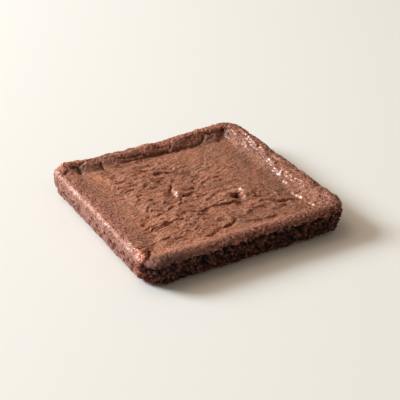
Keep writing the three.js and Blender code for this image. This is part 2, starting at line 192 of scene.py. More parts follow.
# Sets of folds in the crust of the top, each strongest near its own middle
WRINKLE_SETS = (
    # seed, heading in degrees, length, spacing, rise, middle, reach
    (3, -14, 15, 8.5, 1.4, (-8, -2), 78),
    (7, 28, 17, 8.0, 1.3, (-48, -46), 44),
    (11, -20, 13, 7.0, 1.1, (36, -48), 52),
    (17, 6, 12, 7.0, 1.1, (-20, 42), 46),
)
FOLD_MIDDLE = 0.3  # the level of a fold's flank, so that folds rise and sink about the crust
FOLD_BEND = (21, 5, (51, 53))  # size and reach of the slow noise that bends the folds, its seeds
FOLD_FADE = 0.35  # the share of a set's reach where its folds are at full height
FOLD_CUT = 0.5  # the level of Z at which a flat pattern cuts through its noise
LEFT_CALM = (-78, -58)  # along X, from no folds on the left band to full folds
CORNER_CALM = (24, 72, 0.75)  # the calmer crust at the back right

# Relief from fixed seeds, each layer with seed, size and depth
WALL_RELIEF = ((21, 16, 0.9), (23, 7.5, 0.75))
RIM_LUMPS = ((31, 16, 1.4), (37, 8, 0.6))
FLOOR_RELIEF = ((41, 26, 0.8),)

# Torn edges of the crust that stand out, walked with the drop on the right hand
TEARS = (
    # from, to, rise, how far the rise reaches behind, how far the middle bows out
    ((-65, 33), (-50, 31), 0.9, 4.0, -1.0),
    ((-51, 31), (-36, 34.5), 0.9, 3.5, 1.0),
    ((-64, 22), (-50, 24), 0.9, 4.0, 0.8),
    ((-46, 20), (-34, 24), 0.7, 3.0, 0.8),
    ((-68, 15), (-61, 16.5), 0.6, 2.5, 0.4),
    ((-58, 2), (-52, 7), 0.7, 2.5, 0.5),
    ((-46, 8), (-41, 8.5), 0.5, 2.0, 0.3),
    ((-30, 4), (-24, 7), 0.7, 2.5, 0.4),
    ((-37, 47.5), (-29, 50), 0.6, 3.0, 0.5),
    ((-21, 49), (-11, 51), 0.8, 3.0, 0.6),
    ((-10, 49), (-1, 44), 0.7, 3.0, 0.8),
    ((-1, 44), (2, 41), 0.8, 2.5, 0.3),
    ((-21, 42), (-11, 37), 1.0, 3.5, 0.8),
    ((-12, 37), (4, 33), 1.1, 3.5, -0.8),
    ((2, 33), (14, 28), 1.0, 3.0, 0.8),
    ((19, 31), (27, 35), 0.45, 2.5, 0.5),
    ((19, 27), (31, 29), 0.35, 2.5, 0.5),
    ((20, 3), (29, 2), 0.5, 2.5, 0.5),
    ((-60, -14), (-50, -11), 0.8, 3.0, 0.8),
    ((-68, -48), (-47, -42), 1.1, 4.0, 0.8),
    ((-40, -23), (-27, -17), 0.8, 3.0, 0.5),
    ((-28, -17), (-20, -11), 0.8, 3.0, 0.5),
    ((-69, -63), (-54, -60), 0.8, 4.0, 0.6),
    ((-30, -73), (-18, -68), 0.8, 3.0, 0.6),
    ((-10, -68), (9, -60), 1.2, 4.0, -1.0),
    ((-42, -78), (-20, -77), 0.7, 3.0, 0.8),
    ((17, -67.5), (26, -70), 0.7, 3.0, 0.4),
    ((-18, -6), (-1, -2.5), 1.4, 4.0, 1.4),
    ((0, -13), (8, -11.5), 0.8, 2.5, 0.6),
    ((4, -19), (13, -15), 0.8, 2.5, 0.6),
    ((-3, -22), (6, -19.5), 0.8, 2.5, 0.6),
    ((2, -31), (14, -28), 0.9, 3.0, 0.8),
    ((-14, -33), (-6, -34), 0.7, 2.5, 0.8),
    ((37, -33), (54, -41), 1.0, 3.0, 0.6),
    ((4, 12), (15, 18), 0.8, 3.0, -0.6),
    ((18, -24), (30, -21), 0.7, 3.0, 0.6),
    ((44, -58), (62, -60), 0.7, 3.5, 0.8),
    ((22, -50), (42, -53), 0.7, 3.5, 0.8),
    ((-4, 70), (14, 68), 0.5, 3.0, 0.6),
    ((-32, 62), (-20, 61), 0.6, 3.0, 0.6),
)

# Rows of shiny facets that catch the light from the left, with the drop on the left
GLINTS = (
    # from, to, rise, how far the rise reaches behind
    ((-17.6, 6.5), (-17.0, -4.5), 2.8, 3.5),
    ((36.5, -20), (33, -33), 2.6, 3.0),
    ((-4, -7), (-4.5, -11), 1.3, 1.8),
    ((-39.5, 31), (-40, 25.5), 1.1, 1.6),
    ((2.5, 42), (2, 38.5), 1.2, 1.6),
    ((19.5, 13.5), (19, 9.5), 1.2, 1.5),
    ((45.5, -32.5), (45, -35.5), 1.2, 1.5),
    ((60.5, -37), (57.5, -49), 1.1, 1.6),
    ((86, 84), (85.8, 66), 2.0, 2.2),
    ((91.6, 70), (92, 58), 1.5, 1.8),
    ((84.6, 54), (83.0, 45), 1.3, 1.8),
    ((90.8, 56), (88.6, 35), 2.2, 2.4),
    ((89.6, 33), (87.4, 16), 2.3, 2.4),
    ((85.8, 13), (84.8, 0), 2.2, 2.4),
    ((90.2, 12), (91.2, -1), 1.4, 1.8),
    ((82.2, -3), (81.8, -17), 2.0, 2.2),
    ((85.4, -12), (85.4, -31), 2.3, 2.4),
    ((79.8, -24), (79.0, -32), 1.5, 2.0),
    ((85.4, -32), (88.2, -44), 1.9, 2.2),
    ((75.4, -43), (77.4, -64), 1.8, 2.0),
    ((79, -66), (77, -74), 1.4, 1.8),
    ((92.8, 44), (92.6, 32), 1.2, 1.8),
    ((82, 86), (78.6, 72), 1.2, 1.8),
    ((-92.5, -58), (-92.3, -64), 1.3, 2.0),
    ((-93.5, -66), (-91, -78), 1.6, 2.2),
)
GLINT_LENGTH = 6.0  # of each facet of a row
GLINT_OVERLAP = 1.25  # how much longer than that a facet is, to reach into the next
GLINT_HEADING = np.radians(-80.5)  # of the lips of all facets: square to it they face the light
GLINT_FACET = 1.5  # the width of a shiny facet for each millimetre of its rise
# The crevice in front of each shiny facet is painted dark, as painted shade
GLINT_CREVICE = 0.8  # how dark the crevice in front of a shiny facet is

# Sets of smaller torn edges that run along the levels of a stretched noise, where it climbs
# towards the back, each set strongest near its own middle
TORN_SETS = (
    # seed, heading in degrees, middle, reach, rise
    (301, -10, (-36, 46), 40, 1.2),
    (307, -6, (-38, 4), 38, 1.3),
    (311, 6, (-50, -46), 38, 1.4),
    (313, -8, (6, -40), 38, 1.3),
    (317, -16, (54, -56), 38, 1.1),
    (323, 0, (14, 12), 34, 0.9),
    (331, 20, (46, 38), 50, 0.4),
)
TORN_SIZES = (
    # size of the noise, how much longer than wide, level, rise, reach behind
    (12.0, 1.6, -0.05, 1.0, 4.0),
    (7.5, 1.5, 0.05, 0.9, 2.8),
    (5.2, 1.4, 0.10, 0.7, 2.0),
    (4.2, 1.4, -0.15, 0.6, 1.6),
)
TORN_CLIMB = (0.25, 1.0)  # the climb across one size of the noise, from no edge to a full one
TORN_GAPS = (6.0, -0.5, 0.25)  # size of the noise that breaks the edges up, and its bounds
TORN_CUT, GAP_CUT, STREAK_CUT, BORDER_CUT = 0.37, 0.61, 0.2, 0.4  # as FOLD_CUT
TORN_FAR = 1.6  # how far a set goes, in units of its reach
CLIMB_STEP, LEAST_CLIMB = 0.1, 0.05  # the step that measures the climb, and its least value
TORN_SHOWN = 1.3  # how strongly these edges are marked, for a rise of 1
TEAR_DROP = 0.9  # the width of the drop in front of the lip
TEAR_DIP = 0.45  # the dip at the foot, as a share of the rise
DIP_REACH = 1.4
TEAR_REACH = 4  # how far a tear is worked out on both sides, in units of its reach behind
TEAR_WHOLE = 0.45  # the share of a tear's half length where it starts to fade
# The bright band lies behind the lip, on the side that faces the light, and the dark band lies on
# the drop, which faces away: the crust's own lighter lips and darker creases, together with painted
# highlight and painted shade
LIP = (-1.2, 1.3)  # middle and width of the bright band behind a lip
FOOT_WIDTH = 1.2  # of the dark band at the foot of the drop,
LEVEL_FOOT = 0.7  # and its middle for the edges that follow levels
TORN_RISE = 1.35  # scales the rise of all torn edges, but not of the shiny facets

# The grain of the crumpled crust
GRAIN_SETS = (
    # seed, heading in degrees, middle, reach
    (351, -8, (-36, 30), 50),
    (353, 6, (-40, -44), 50),
    (357, -12, (40, -50), 50),
    (359, 24, (46, 34), 56),
)
GRAIN_STRETCH = 2.2  # how much longer than wide a fold of the grain is
GRAIN_OCTAVES = ((8.0, 0.5), (4.4, 0.4), (2.6, 0.2))  # size and rise, coarse first
FINER_WEIGHT = (0.45, 1.3)  # of the next finer size, in the hollows and on the crests
LEAST_WEIGHT = 1e-3  # of a set far from its middle

# Broad patches where the crust is baked darker or lighter; the rows marked below are painted
# highlight
TONES = (
    # middle, reach along X and Y, share by which it is lighter
    ((70, 0), (26, 100), -0.20),
    ((30, -62), (26, 13), -0.20),
    ((-12, 14), (14, 11), -0.18),
    ((58, -38), (18, 13), -0.08),
    ((-84, -10), (9, 60), 0.07),
    ((-76, -94), (22, 7), -0.5),
    ((-72, -79), (14, 4.5), 0.32),
    ((-34, -84), (16, 6), 0.25),
    ((-3, -84), (13, 6), 0.12),
    # painted highlight where the front left corner catches the light
    ((-93, -79), (6, 6), 1.1),
    ((-61, 79), (12, 7), -0.55),
    ((-79, 78), (8, 6), -0.45),
    ((-72, -5), (26, 90), 0.12),
    ((-45, -38), (20, 14), 0.14),
    ((-66, 47), (10, 12), 0.2),
    ((92, -84), (18, 14), -0.15),
    ((-90, 84), (9, 14), 0.2),
    ((-80, 92), (11, 6), 0.8),
    # this row and the next: painted highlight along the lit crest of the back rim
    ((20, 93), (75, 6), 0.35),
    ((62, 92), (13, 6), 0.3),
    ((92, 92), (8, 8), -0.15),
    ((88, -45), (9, 45), 0.08),
)

# Small round pits of the top
DOTS = (
    # x, y, radius, depth
    (-53, 64, 1.4, 1.2), (-52, 60, 1.2, 1.0), (-52, 54, 1.4, 1.2), (-56, 49, 1.3, 1.1),
    (-53, 49, 1.2, 1.0), (-54, 43, 1.3, 1.1), (48, 24, 1.6, 0.6), (40, 23, 1.4, 0.5),
    (15, 19, 1.3, 0.6), (5, 13, 1.4, 0.7), (11, 10, 1.4, 0.8), (54, -7, 1.6, 0.6),
    (33, -9, 1.3, 0.7), (20, -6, 2.0, 0.6), (-27, -33, 2.0, 1.3), (-27, -52, 1.7, 1.1),
    (-22, -46, 1.8, 1.1), (-10, -32, 2.6, 0.9), (41, -77, 1.5, 0.9), (46, -77, 1.5, 0.9),
    (-58, -25, 1.8, 1.0), (-68, -35, 1.8, 1.0), (-3, 59, 1.6, 0.9), (25, -28, 3.4, 1.4),
    (-42, -48, 1.4, 0.9), (-44, -53, 1.4, 1.0), (-87, 48, 1.2, 0.8), (-87, 17, 1.2, 0.8),
    (-87, 5, 1.1, 0.7), (-87, -13, 1.2, 0.8), (-85, -29, 1.3, 0.9), (-85, -39, 1.2, 0.8),
    (2, -82.5, 1.4, 1.1), (6, -84, 1.3, 1.1), (8.5, -90, 2.0, 1.8), (-14, -87, 1.7, 1.4),
    (81.5, -82, 1.8, 1.8), (76, -87, 1.7, 1.8), (77, -78.5, 1.3, 1.4), (93, -78, 1.3, 1.3),
    (86, -79.5, 1.2, 1.3), (82, -89, 1.3, 1.2), (73, -90, 1.6, 1.4), (56, -93, 1.4, 1.4),
    (46, -80.5, 1.8, 1.2), (72, -77.5, 1.1, 1.1), (67, -81.5, 1.1, 1.0), (86, -70, 1.2, 1.3),
    (90, -66, 1.2, 1.2), (80, -72, 1.1, 1.2), (88, -88, 1.2, 1.2), (79, -60, 1.0, 1.1),
)


def linear(hex_colour):
    """sRGB hex to linear red, green and blue: c / 12.92 below 0.04045, else ((c + 0.055) / 1.055)
    to the power 2.4."""
    value = int(hex_colour.lstrip("#"), 16)
    parts = [((value >> shift) & 255) / 255 for shift in (16, 8, 0)]
    return tuple(c / 12.92 if c <= 0.04045 else ((c + 0.055) / 1.055) ** 2.4 for c in parts)


def colour_property(name, description, hex_colour):
    return FloatVectorProperty(
        name=name, description=description, subtype="COLOR", size=3, min=0, max=1,
        default=linear(hex_colour),
    )


def length_property(name, description, millimetres):
    return FloatProperty(
        name=name, description=description, default=millimetres * MM, min=0, unit="LENGTH"
    )


class BrownieSizes(PropertyGroup):
    side: length_property("Side", "Each edge, at the widest level", 200)
    rim_height: length_property("Rim height", "The usual height of the rim's crest", 27.8)
    floor_height: length_property("Top height", "The sunken top, where it meets the rim", 20.8)
    corner_radius: length_property("Corner radius", "The upright corners", 23)
    foot_radius: length_property("Foot radius", "The rounded lower edge", 10)
    rings: IntProperty(
        name="Rings", description="Rings of faces from the middle of the top to its edge",
        default=122, min=24, max=160,
    )
    wall_rings: IntProperty(
        name="Wall rings", description="Rings of faces down the wall", default=35, min=6, max=60
    )


class BrownieColours(PropertyGroup):
    crust: colour_property("Crust", "The dull flats of the baked crust", "#b27155")
    dull: colour_property("Dull crust", "The greyer parts of the crust", "#956d5a")
    rim: colour_property("Rim", "The drier crust of the rim and the sides", "#ae7262")
    # Besides the rim's dark blotches and specks, also laid on as painted shade where the rim turns
    # from the light
    browned: colour_property("Browned crust", "The crust where it is baked dark", "#5f3429")
    skin: colour_property("Left skin", "The smooth skin of the left wall", "#a2675c")
    # Also laid on as painted highlight: on the lit side of torn lips and on crests
    ridge: colour_property("Ridges", "The raised lips of the crust", "#cc8e6b")
    # Also laid on as painted shade: in hollows, pits, gaps and creases, and on the drops below torn
    # edges
    crease: colour_property("Creases", "The bottoms of cracks and folds", "#642010")
    fleck: colour_property("Flecks", "Small dry places of the crust", "#c69b84")
    # Painted highlight: a pale colour laid along the left shoulder's line of shine
    glaze: colour_property("Glaze", "The sugar glaze of the left shoulder", "#d9a99b")
    # Near black: the dark crumb in deep cracks, made darker still as painted shade, also in the
    # crevices before the shiny facets
    crack: colour_property("Cracks", "Deep cracks", "#1f0c08")
    pit: colour_property("Pits", "Small pits of the crust and the crumb", "#651b0e")
    crumb: colour_property("Crumb", "The open crumb of the walls", "#38201a")
    crumb_red: colour_property("Reddish crumb", "Freshly torn crumb", "#8a4a3b")
    surface: colour_property("Surface", "The surface that the brownie stands on", "#e8e6e3")


def slab_size():
    """The sizes of the panel in millimetres, with the steps of the mesh."""
    sizes = bpy.context.scene.brownie_sizes
    names = ("side", "rim_height", "floor_height", "corner_radius", "foot_radius")
    lengths = {name: getattr(sizes, name) / MM for name in names}
    return SimpleNamespace(**lengths, rings=sizes.rings, wall_rings=sizes.wall_rings)


def clamp01(value):
    return np.clip(value, 0.0, 1.0)


def mix(a, b, share):
    return a + (b - a) * share


def smooth(value):
    """3 t squared minus 2 t cubed: level at both ends."""
    return value * value * (3 - 2 * value)


def smooth_step(low, high, value):
    return smooth(clamp01((value - low) / (high - low)))


def bell(value, middle, width):
    """e to the minus square of the distance from the middle in widths."""
    return np.exp(-(((value - middle) / width) ** 2))


def lattice_value(x, y, z, seed):
    """A fixed number from 0 to 1 for each corner of a cubic lattice: its three whole numbers are
    multiplied by odd constants and added, and the sum is scrambled by shifts and products."""
    x, y, z = (part.astype(np.int64).astype(np.uint32) for part in (x, y, z))
    h = x * np.uint32(374761393) + y * np.uint32(668265263) + z * np.uint32(1274126177)
    h = (h + np.uint32(seed * 1013904223 & 0xFFFFFFFF)) * np.uint32(1664525)
    h = (h ^ (h >> np.uint32(13))) * np.uint32(1274126177)
    return (h ^ (h >> np.uint32(16))) / 4294967296.0


def noise(x, y, z, seed):
    """Smooth noise from -1 to 1: the values at the corners of the lattice cell round the point,
    blended along X, then Y, then Z."""
    x, y, z = np.broadcast_arrays(*(np.asarray(part, float) for part in (x, y, z)))
    i, j, k = np.floor(x), np.floor(y), np.floor(z)
    u, v, w = smooth(x - i), smooth(y - j), smooth(z - k)

    def along_x(b, c):
        return mix(
            lattice_value(i, j + b, k + c, seed), lattice_value(i + 1, j + b, k + c, seed), u
        )

    def along_y(c):
        return mix(along_x(0, c), along_x(1, c), v)

    return 2 * mix(along_y(0), along_y(1), w) - 1


def noise_of(size, seed, x, y, z=0):
    """The noise with its cells of one size in millimetres."""
    return noise(x / size, y / size, z / size, seed)


def relief(layers, x, y, z):
    """Sum of noises of several sizes, each times its depth."""
    return sum(depth * noise_of(size, seed, x, y, z) for seed, size, depth in layers)


def cells(x, y, z, size, seed):
    """Distance to the nearest and the second nearest of scattered points, in units of size, and a
    fixed number from 0 to 1 for the nearest. One point lies in each cubic cell, and the 27 cells
    round the place are searched."""
    x, y, z = x / size, y / size, z / size
    lowest = [np.floor(part) - 1 for part in (x, y, z)]
    first = np.full(x.shape, 9.0)
    second = np.full(x.shape, 9.0)
    draw = np.zeros(x.shape)
    for step in np.ndindex(3, 3, 3):
        p, q, r = (low + move for low, move in zip(lowest, step))
        own = lattice_value(p, q, r, seed)
        far = np.sqrt(
            (p + own - x) ** 2
            + (q + lattice_value(p, q, r, seed + 1) - y) ** 2
            + (r + lattice_value(p, q, r, seed + 2) - z) ** 2
        )
        second = np.minimum(second, np.maximum(first, far))
        draw = np.where(far < first, own, draw)
        first = np.minimum(first, far)
    return first, second, draw


def warped(x, y, z, size, reach, seed):
    """Places moved by up to reach along each axis by a noise of that size."""
    return tuple(
        part + reach * noise_of(size, seed + step, x, y, z) for step, part in enumerate((x, y, z))
    )


def crumpled(x, y, z, seed, octaves):
    """Crumpled paper, from -1 to 1 times the rises: one minus twice the size of a noise, which has
    sharp crests, at sizes from coarse to fine, each finer one counting most on the crests of the
    one before."""
    total = np.zeros(np.shape(x))
    weight = 1.0
    for step, (size, rise) in enumerate(octaves):
        crest = 1 - 2 * np.abs(noise_of(size, seed + step, x, y, z))
        total = total + rise * weight * crest
        weight = mix(*FINER_WEIGHT, clamp01(0.5 + 0.5 * crest))
    return total


def rim_at(size, turn):
    """The rim's values along it: each station's, eased into the next one's by a smooth step."""
    table = np.array(RIM_STATIONS, float)
    starts = np.append(table[:, 0], 4.0)
    values = np.vstack([table[:, 1:], table[0, 1:]])
    before = np.clip(np.searchsorted(starts, turn, side="right") - 1, 0, len(table) - 1)
    share = smooth((turn - starts[before]) / (starts[before + 1] - starts[before]))
    names = ("rise", "lean", "drop", "crest", "slope", "taper", "lumps")
    rim = SimpleNamespace(
        **{
            name: mix(values[before, column], values[before + 1, column], share)
            for column, name in enumerate(names)
        }
    )
    rim.height = size.rim_height + rim.rise
    return rim


CORNER_TIGHTENING = 0.8  # how much a corner's radius shrinks for each millimetre inwards
LEAST_CORNER = 0.09  # the least corner radius, as a share of half the square


def outline_point(size, inset, turn):
    """The rounded square that lies inset from the outline: a straight stretch between two eighths
    of a circle on each side, walked at an even pace. Gives the place and the outward direction."""
    half = size.side / 2 - inset
    radius = np.maximum(size.corner_radius - CORNER_TIGHTENING * inset, LEAST_CORNER * half)
    arc = radius * np.pi / 4
    middle = half - radius
    straight = 2 * middle
    run = (turn - np.floor(turn)) * (straight + 2 * arc)
    on_first = run < arc
    on_last = run > arc + straight
    bend = np.where(on_first, run / radius - np.pi / 4, 0.0)
    bend = np.where(on_last, (run - arc - straight) / radius, bend)
    x = np.where(on_first, -middle, np.where(on_last, middle, run - arc - middle))
    x = x + radius * np.sin(bend)
    y = -middle - radius * np.cos(bend)
    spin = (np.floor(turn) % 4) * np.pi / 2
    c, s = np.cos(spin), np.sin(spin)
    nx, ny = np.sin(bend), -np.cos(bend)
    return SimpleNamespace(x=c * x - s * y, y=s * x + c * y, nx=c * nx - s * ny, ny=s * nx + c * ny)


def away_from(x, y, z, start, end, flat=1.0):
    """Square of the distance to a straight stretch, in which differences in height count by the
    share flat."""
    far = (x - start[0], y - start[1], (z - start[2]) * flat)
    run = np.subtract(end, start)
    share = clamp01(sum(f * r for f, r in zip(far, run)) / (run @ run))
    return sum((f - share * r) ** 2 for f, r in zip(far, run))


def greatest(values):
    """The greatest of several arrays at each place."""
    return reduce(np.maximum, values)


def crease_depth(x, y, z, narrow=1.0):
    """Depth of the creases: a bell shape about each straight stretch, the deepest one counting.
    narrow makes all of them narrower."""
    return greatest(
        depth * np.exp(-away_from(x, y, z, start, end) / (width * narrow) ** 2)
        for start, end, width, depth in CREASES
    )


def thin_cracks(x, y, z, level):
    """Depth of the thin cracks: a bell shape about each stretch from one place to the next, the
    deepest one counting, on places bent by a noise, and changing along them by another."""
    wx, wy, wz = warped(x, y, z, *CRACK_BEND)
    flat = mix(1.0, CRACK_FLAT, level)
    deepest = greatest(
        depth * np.exp(-away_from(wx, wy, wz, start, end, flat) / width**2)
        for width, depth, places in CRACKS
        for start, end in zip(places, places[1:])
    )
    return deepest * mix(*CRACK_DEPTHS, 0.5 + 0.5 * noise_of(*CRACK_CHANGES, x, y, z))


def turned(x, y, middle, heading):
    """Place measured from a middle, along a heading and across it."""
    angle = np.radians(heading)
    dx, dy = x - middle[0], y - middle[1]
    return dx * np.cos(angle) + dy * np.sin(angle), dy * np.cos(angle) - dx * np.sin(angle)


def lump_height(x, y):
    """Height of the flaps: flat-topped mounds whose edge falls by a smooth step."""
    height = np.zeros(np.shape(x))
    for middle, reach, heading, rise in LUMPS:
        along, across = turned(x, y, middle, heading)
        far = np.hypot(along / reach[0], across / reach[1])
        height += rise * (1 - smooth_step(*LUMP_EDGE, far))
    return height


def calm(x, y):
    """0 on the smooth band along the left rim, low in the back right quarter, and 1 elsewhere."""
    low, high, share = CORNER_CALM
    return smooth_step(*LEFT_CALM, x) * (1 - share * smooth_step(low, high, (x + y) / 2))


def wrinkle_height(x, y):
    """Height of the folds: one minus twice the size of a stretched noise, which has sharp crests
    where the noise passes zero, on places bent by a slow noise."""
    size, bend, seeds = FOLD_BEND
    bx, by = (
        part + bend * noise(x / size, y / size, FOLD_CUT, seed) for part, seed in zip((x, y), seeds)
    )
    height = np.zeros(np.shape(x))
    for seed, heading, length, spacing, rise, middle, reach in WRINKLE_SETS:
        along, across = turned(bx, by, middle, heading)
        fold = 1 - 2 * np.abs(noise(along / length, across / spacing, FOLD_CUT, seed))
        fade = 1 - smooth_step(FOLD_FADE * reach, reach, np.hypot(x - middle[0], y - middle[1]))
        height += rise * fade * (fold - FOLD_MIDDLE)
    return height * calm(x, y)


DOME_RISE = 1.3  # the middle of the top above its edge
LEFT_RISE = 3.2  # how much higher the top lies along the left rim
LEFT_REACH = 0.36  # where it is that much higher, left of the middle, as a share of the side
TROUGH = (0.7, 3, 6)  # depth of the sag along the rim's foot, its place inwards of it, its width


def floor_at(size, x, y, inset, slope):
    """The sunken top: a low parabolic dome, a bell-shaped sag along the rim, a smooth step up
    towards the left, and slow swells."""
    out = clamp01((size.side / 2 - inset) / (size.side / 2 - slope))
    depth, place, width = TROUGH
    trough = depth * bell(inset - slope, place, width)
    leftward = LEFT_RISE * smooth_step(0, LEFT_REACH * size.side, -x)
    dome = DOME_RISE * (1 - out * out)
    return size.floor_height + dome - trough + leftward + relief(FLOOR_RELIEF, x, y, 0)


CALM_WALL = 0.35  # how much of the walls' relief is left where the rim is smooth


def wall_points(place, z, lumps, share):
    """Points of the outline at height z, moved out by a share of the walls' relief."""
    push = mix(CALM_WALL, 1.0, clamp01(2 * lumps)) * relief(WALL_RELIEF, place.x, place.y, z)
    push = (push - crease_depth(place.x, place.y, z)) * share
    return np.stack([place.x + place.nx * push, place.y + place.ny * push, z], -1)


def top_surface(size, angle, inward, turn):
    """The top as a function of angle, inward and turn. The shoulder is a quarter of an ellipse, at
    angles from 0 on the wall to a right angle on the crest. Behind it a smooth step falls down the
    inner slope to the floor, and inward runs from 0 at the crest to 1 in the middle. Lumps, folds
    and creases are added to the height."""
    rim = rim_at(size, turn)
    shoulder = mix(rim.lean, rim.crest, 1 - np.cos(angle))
    inset = np.where(inward > 0, mix(rim.crest, size.side / 2, inward), shoulder)
    place = outline_point(size, inset, turn)
    on_rim = 1 - smooth_step(rim.crest, rim.slope, inset)
    floor = floor_at(size, place.x, place.y, inset, rim.slope)
    level = smooth(np.sin(angle))
    broken = relief(RIM_LUMPS, place.x, place.y, 0) * rim.lumps * on_rim * level
    z = mix(floor, rim.height, on_rim) - rim.drop * (1 - np.sin(angle)) + broken
    z = z + lump_height(place.x, place.y) * level
    z = z + wrinkle_height(place.x, place.y) * (1 - on_rim)
    z = z - crease_depth(place.x, place.y, z) * level
    return SimpleNamespace(
        points=wall_points(place, z, rim.lumps, 1 - level), nx=place.nx, ny=place.ny,
        on_rim=on_rim, level=level, side=1 - level, lumps=rim.lumps,
    )


FOOT_SHARE = 0.45  # where the wall's rounded foot starts, from 0 at the shoulder to 1
BELLY_REACH = 0.8  # how far the wall bows out between its shoulder and its foot


def wall_surface(size, share, turn):
    """The wall as a function of share, from 0 at the shoulder to 1 on the ground, and turn: a
    stretch that bows out by a half sine, then a quarter circle round the foot."""
    rim = rim_at(size, turn)
    in_foot = clamp01((share - FOOT_SHARE) / (1 - FOOT_SHARE)) * np.pi / 2
    upright = clamp01(share / FOOT_SHARE)
    z = np.where(
        share < FOOT_SHARE,
        mix(rim.height - rim.drop, size.foot_radius, upright),
        size.foot_radius * (1 - np.sin(in_foot)),
    )
    belly = BELLY_REACH * np.sin(np.pi * upright)
    foot = size.foot_radius * (1 - np.cos(in_foot))
    place = outline_point(size, mix(rim.lean, rim.taper, upright) - belly + foot, turn)
    settled = smooth_step(0, size.foot_radius / 2, z)
    plain = np.zeros(z.shape)
    return SimpleNamespace(
        points=wall_points(place, z, rim.lumps, settled), nx=place.nx, ny=place.ny,
        on_rim=plain + 1, level=plain, side=plain + 1, lumps=plain + rim.lumps,
    )


SHOULDER_SHARE = 0.13  # the share of the rings that go round the shoulder
LEAST_SHARE = 1e-6  # keeps the innermost ring from shrinking to nothing


def net_surface(size):
    """The square net that covers the top: square number r round its middle becomes ring r. The
    outer rings go round the shoulder in even steps of its angle, the others run in even steps from
    the crest to the middle."""
    line = np.arange(2 * size.rings + 1) - size.rings
    u, v = np.meshgrid(line, line)
    ring = np.maximum(np.abs(u), np.abs(v))
    steps = 2 * np.maximum(ring, 1)
    turn = np.select(
        [(v == -ring) & (u < ring), (u == ring) & (v < ring), (v == ring) & (u > -ring)],
        [(u + ring) / steps, 1 + (v + ring) / steps, 2 + (ring - u) / steps],
        3 + (ring - v) / steps,
    )
    from_edge = size.rings - ring
    shoulder_rings = int(SHOULDER_SHARE * size.rings)
    angle = np.minimum(from_edge / shoulder_rings, 1) * np.pi / 2
    inward = clamp01((from_edge - shoulder_rings) / (size.rings - shoulder_rings))
    return top_surface(size, angle, np.minimum(inward, 1 - LEAST_SHARE), turn % 4)


def net_faces(rings):
    """Two triangles a square of the net, split so that the diagonals run round the middle."""
    across = 2 * rings + 1
    row, column = np.meshgrid(np.arange(across - 1), np.arange(across - 1), indexing="ij")
    a = row * across + column
    b, c, d = a + 1, a + across + 1, a + across
    rising = ((column < rings) == (row < rings))[..., None]
    one = np.where(rising, np.stack([a, b, c], -1), np.stack([b, c, d], -1))
    two = np.where(rising, np.stack([a, c, d], -1), np.stack([b, d, a], -1))
    return np.concatenate([one.reshape(-1, 3), two.reshape(-1, 3)])


def net_rim(rings):
    """Indices of the net's outer square in the order of the turns."""
    last = 2 * rings
    run = np.arange(last)
    across = last + 1
    return np.concatenate(
        [run, run * across + last, last * across + last - run, (last - run) * across]
    )


def band_faces(upper, lower):
    """Triangles between two closed rings of equal length, the upper one given first."""
    a, b = upper, np.roll(upper, -1)
    c, d = lower, np.roll(lower, -1)
    return np.concatenate([np.stack([a, c, b], -1), np.stack([b, c, d], -1)])


def vertex_normals(points, faces):
    """Mean of the normals of the faces round each point, weighted by their areas."""
    corners = points[faces]
    cross = np.cross(corners[:, 1] - corners[:, 0], corners[:, 2] - corners[:, 0])
    normals = np.zeros_like(points)
    for corner, axis in np.ndindex(3, 3):
        normals[:, axis] += np.bincount(faces[:, corner], cross[:, axis], len(points))
    return normals / np.maximum(np.linalg.norm(normals, axis=1, keepdims=True), 1e-12)


def edge_means(values, faces):
    """Mean of the values of the points joined to each point by a face."""
    total = np.zeros(len(values))
    count = np.zeros(len(values))
    for corner in range(3):
        ends = faces[:, corner]
        for step in (1, 2):
            total += np.bincount(ends, values[faces[:, (corner + step) % 3]], len(values))
            count += np.bincount(ends, minlength=len(values))
    return total / np.maximum(count, 1)


def straight(value):
    """The value itself, in the place of a smooth step."""
    return value


def torn_profile(ahead, behind, drop=TEAR_DROP, ease=smooth):
    """The section of a torn edge, from its lip forwards. Behind the lip the height dies away by an
    exponential. In front it drops, eased by a smooth step or straight, into a dip that dies away
    too. behind is how far the rise reaches and drop is the width of the drop."""
    face = 1 - (1 + TEAR_DIP) * ease(clamp01(ahead / drop))
    dip = -TEAR_DIP * np.exp(-np.maximum(ahead - drop, 0) / DIP_REACH)
    front = np.where(ahead < drop, face, dip)
    return np.where(ahead < 0, np.exp(np.minimum(ahead, 0) / behind), front)


def glint_rows():
    """The shiny facets as torn edges: each row is split into short ones, all turned one way."""
    way = np.array([np.cos(GLINT_HEADING), np.sin(GLINT_HEADING)])
    for start, end, rise, behind in GLINTS:
        run = np.subtract(end, start)
        count = max(1, round(np.hypot(*run) / GLINT_LENGTH))
        half = GLINT_OVERLAP * np.hypot(*run) / count / 2 * way
        for step in range(count):
            middle = start + run * (step + 0.5) / count
            yield middle - half, middle + half, rise, behind, 0.0


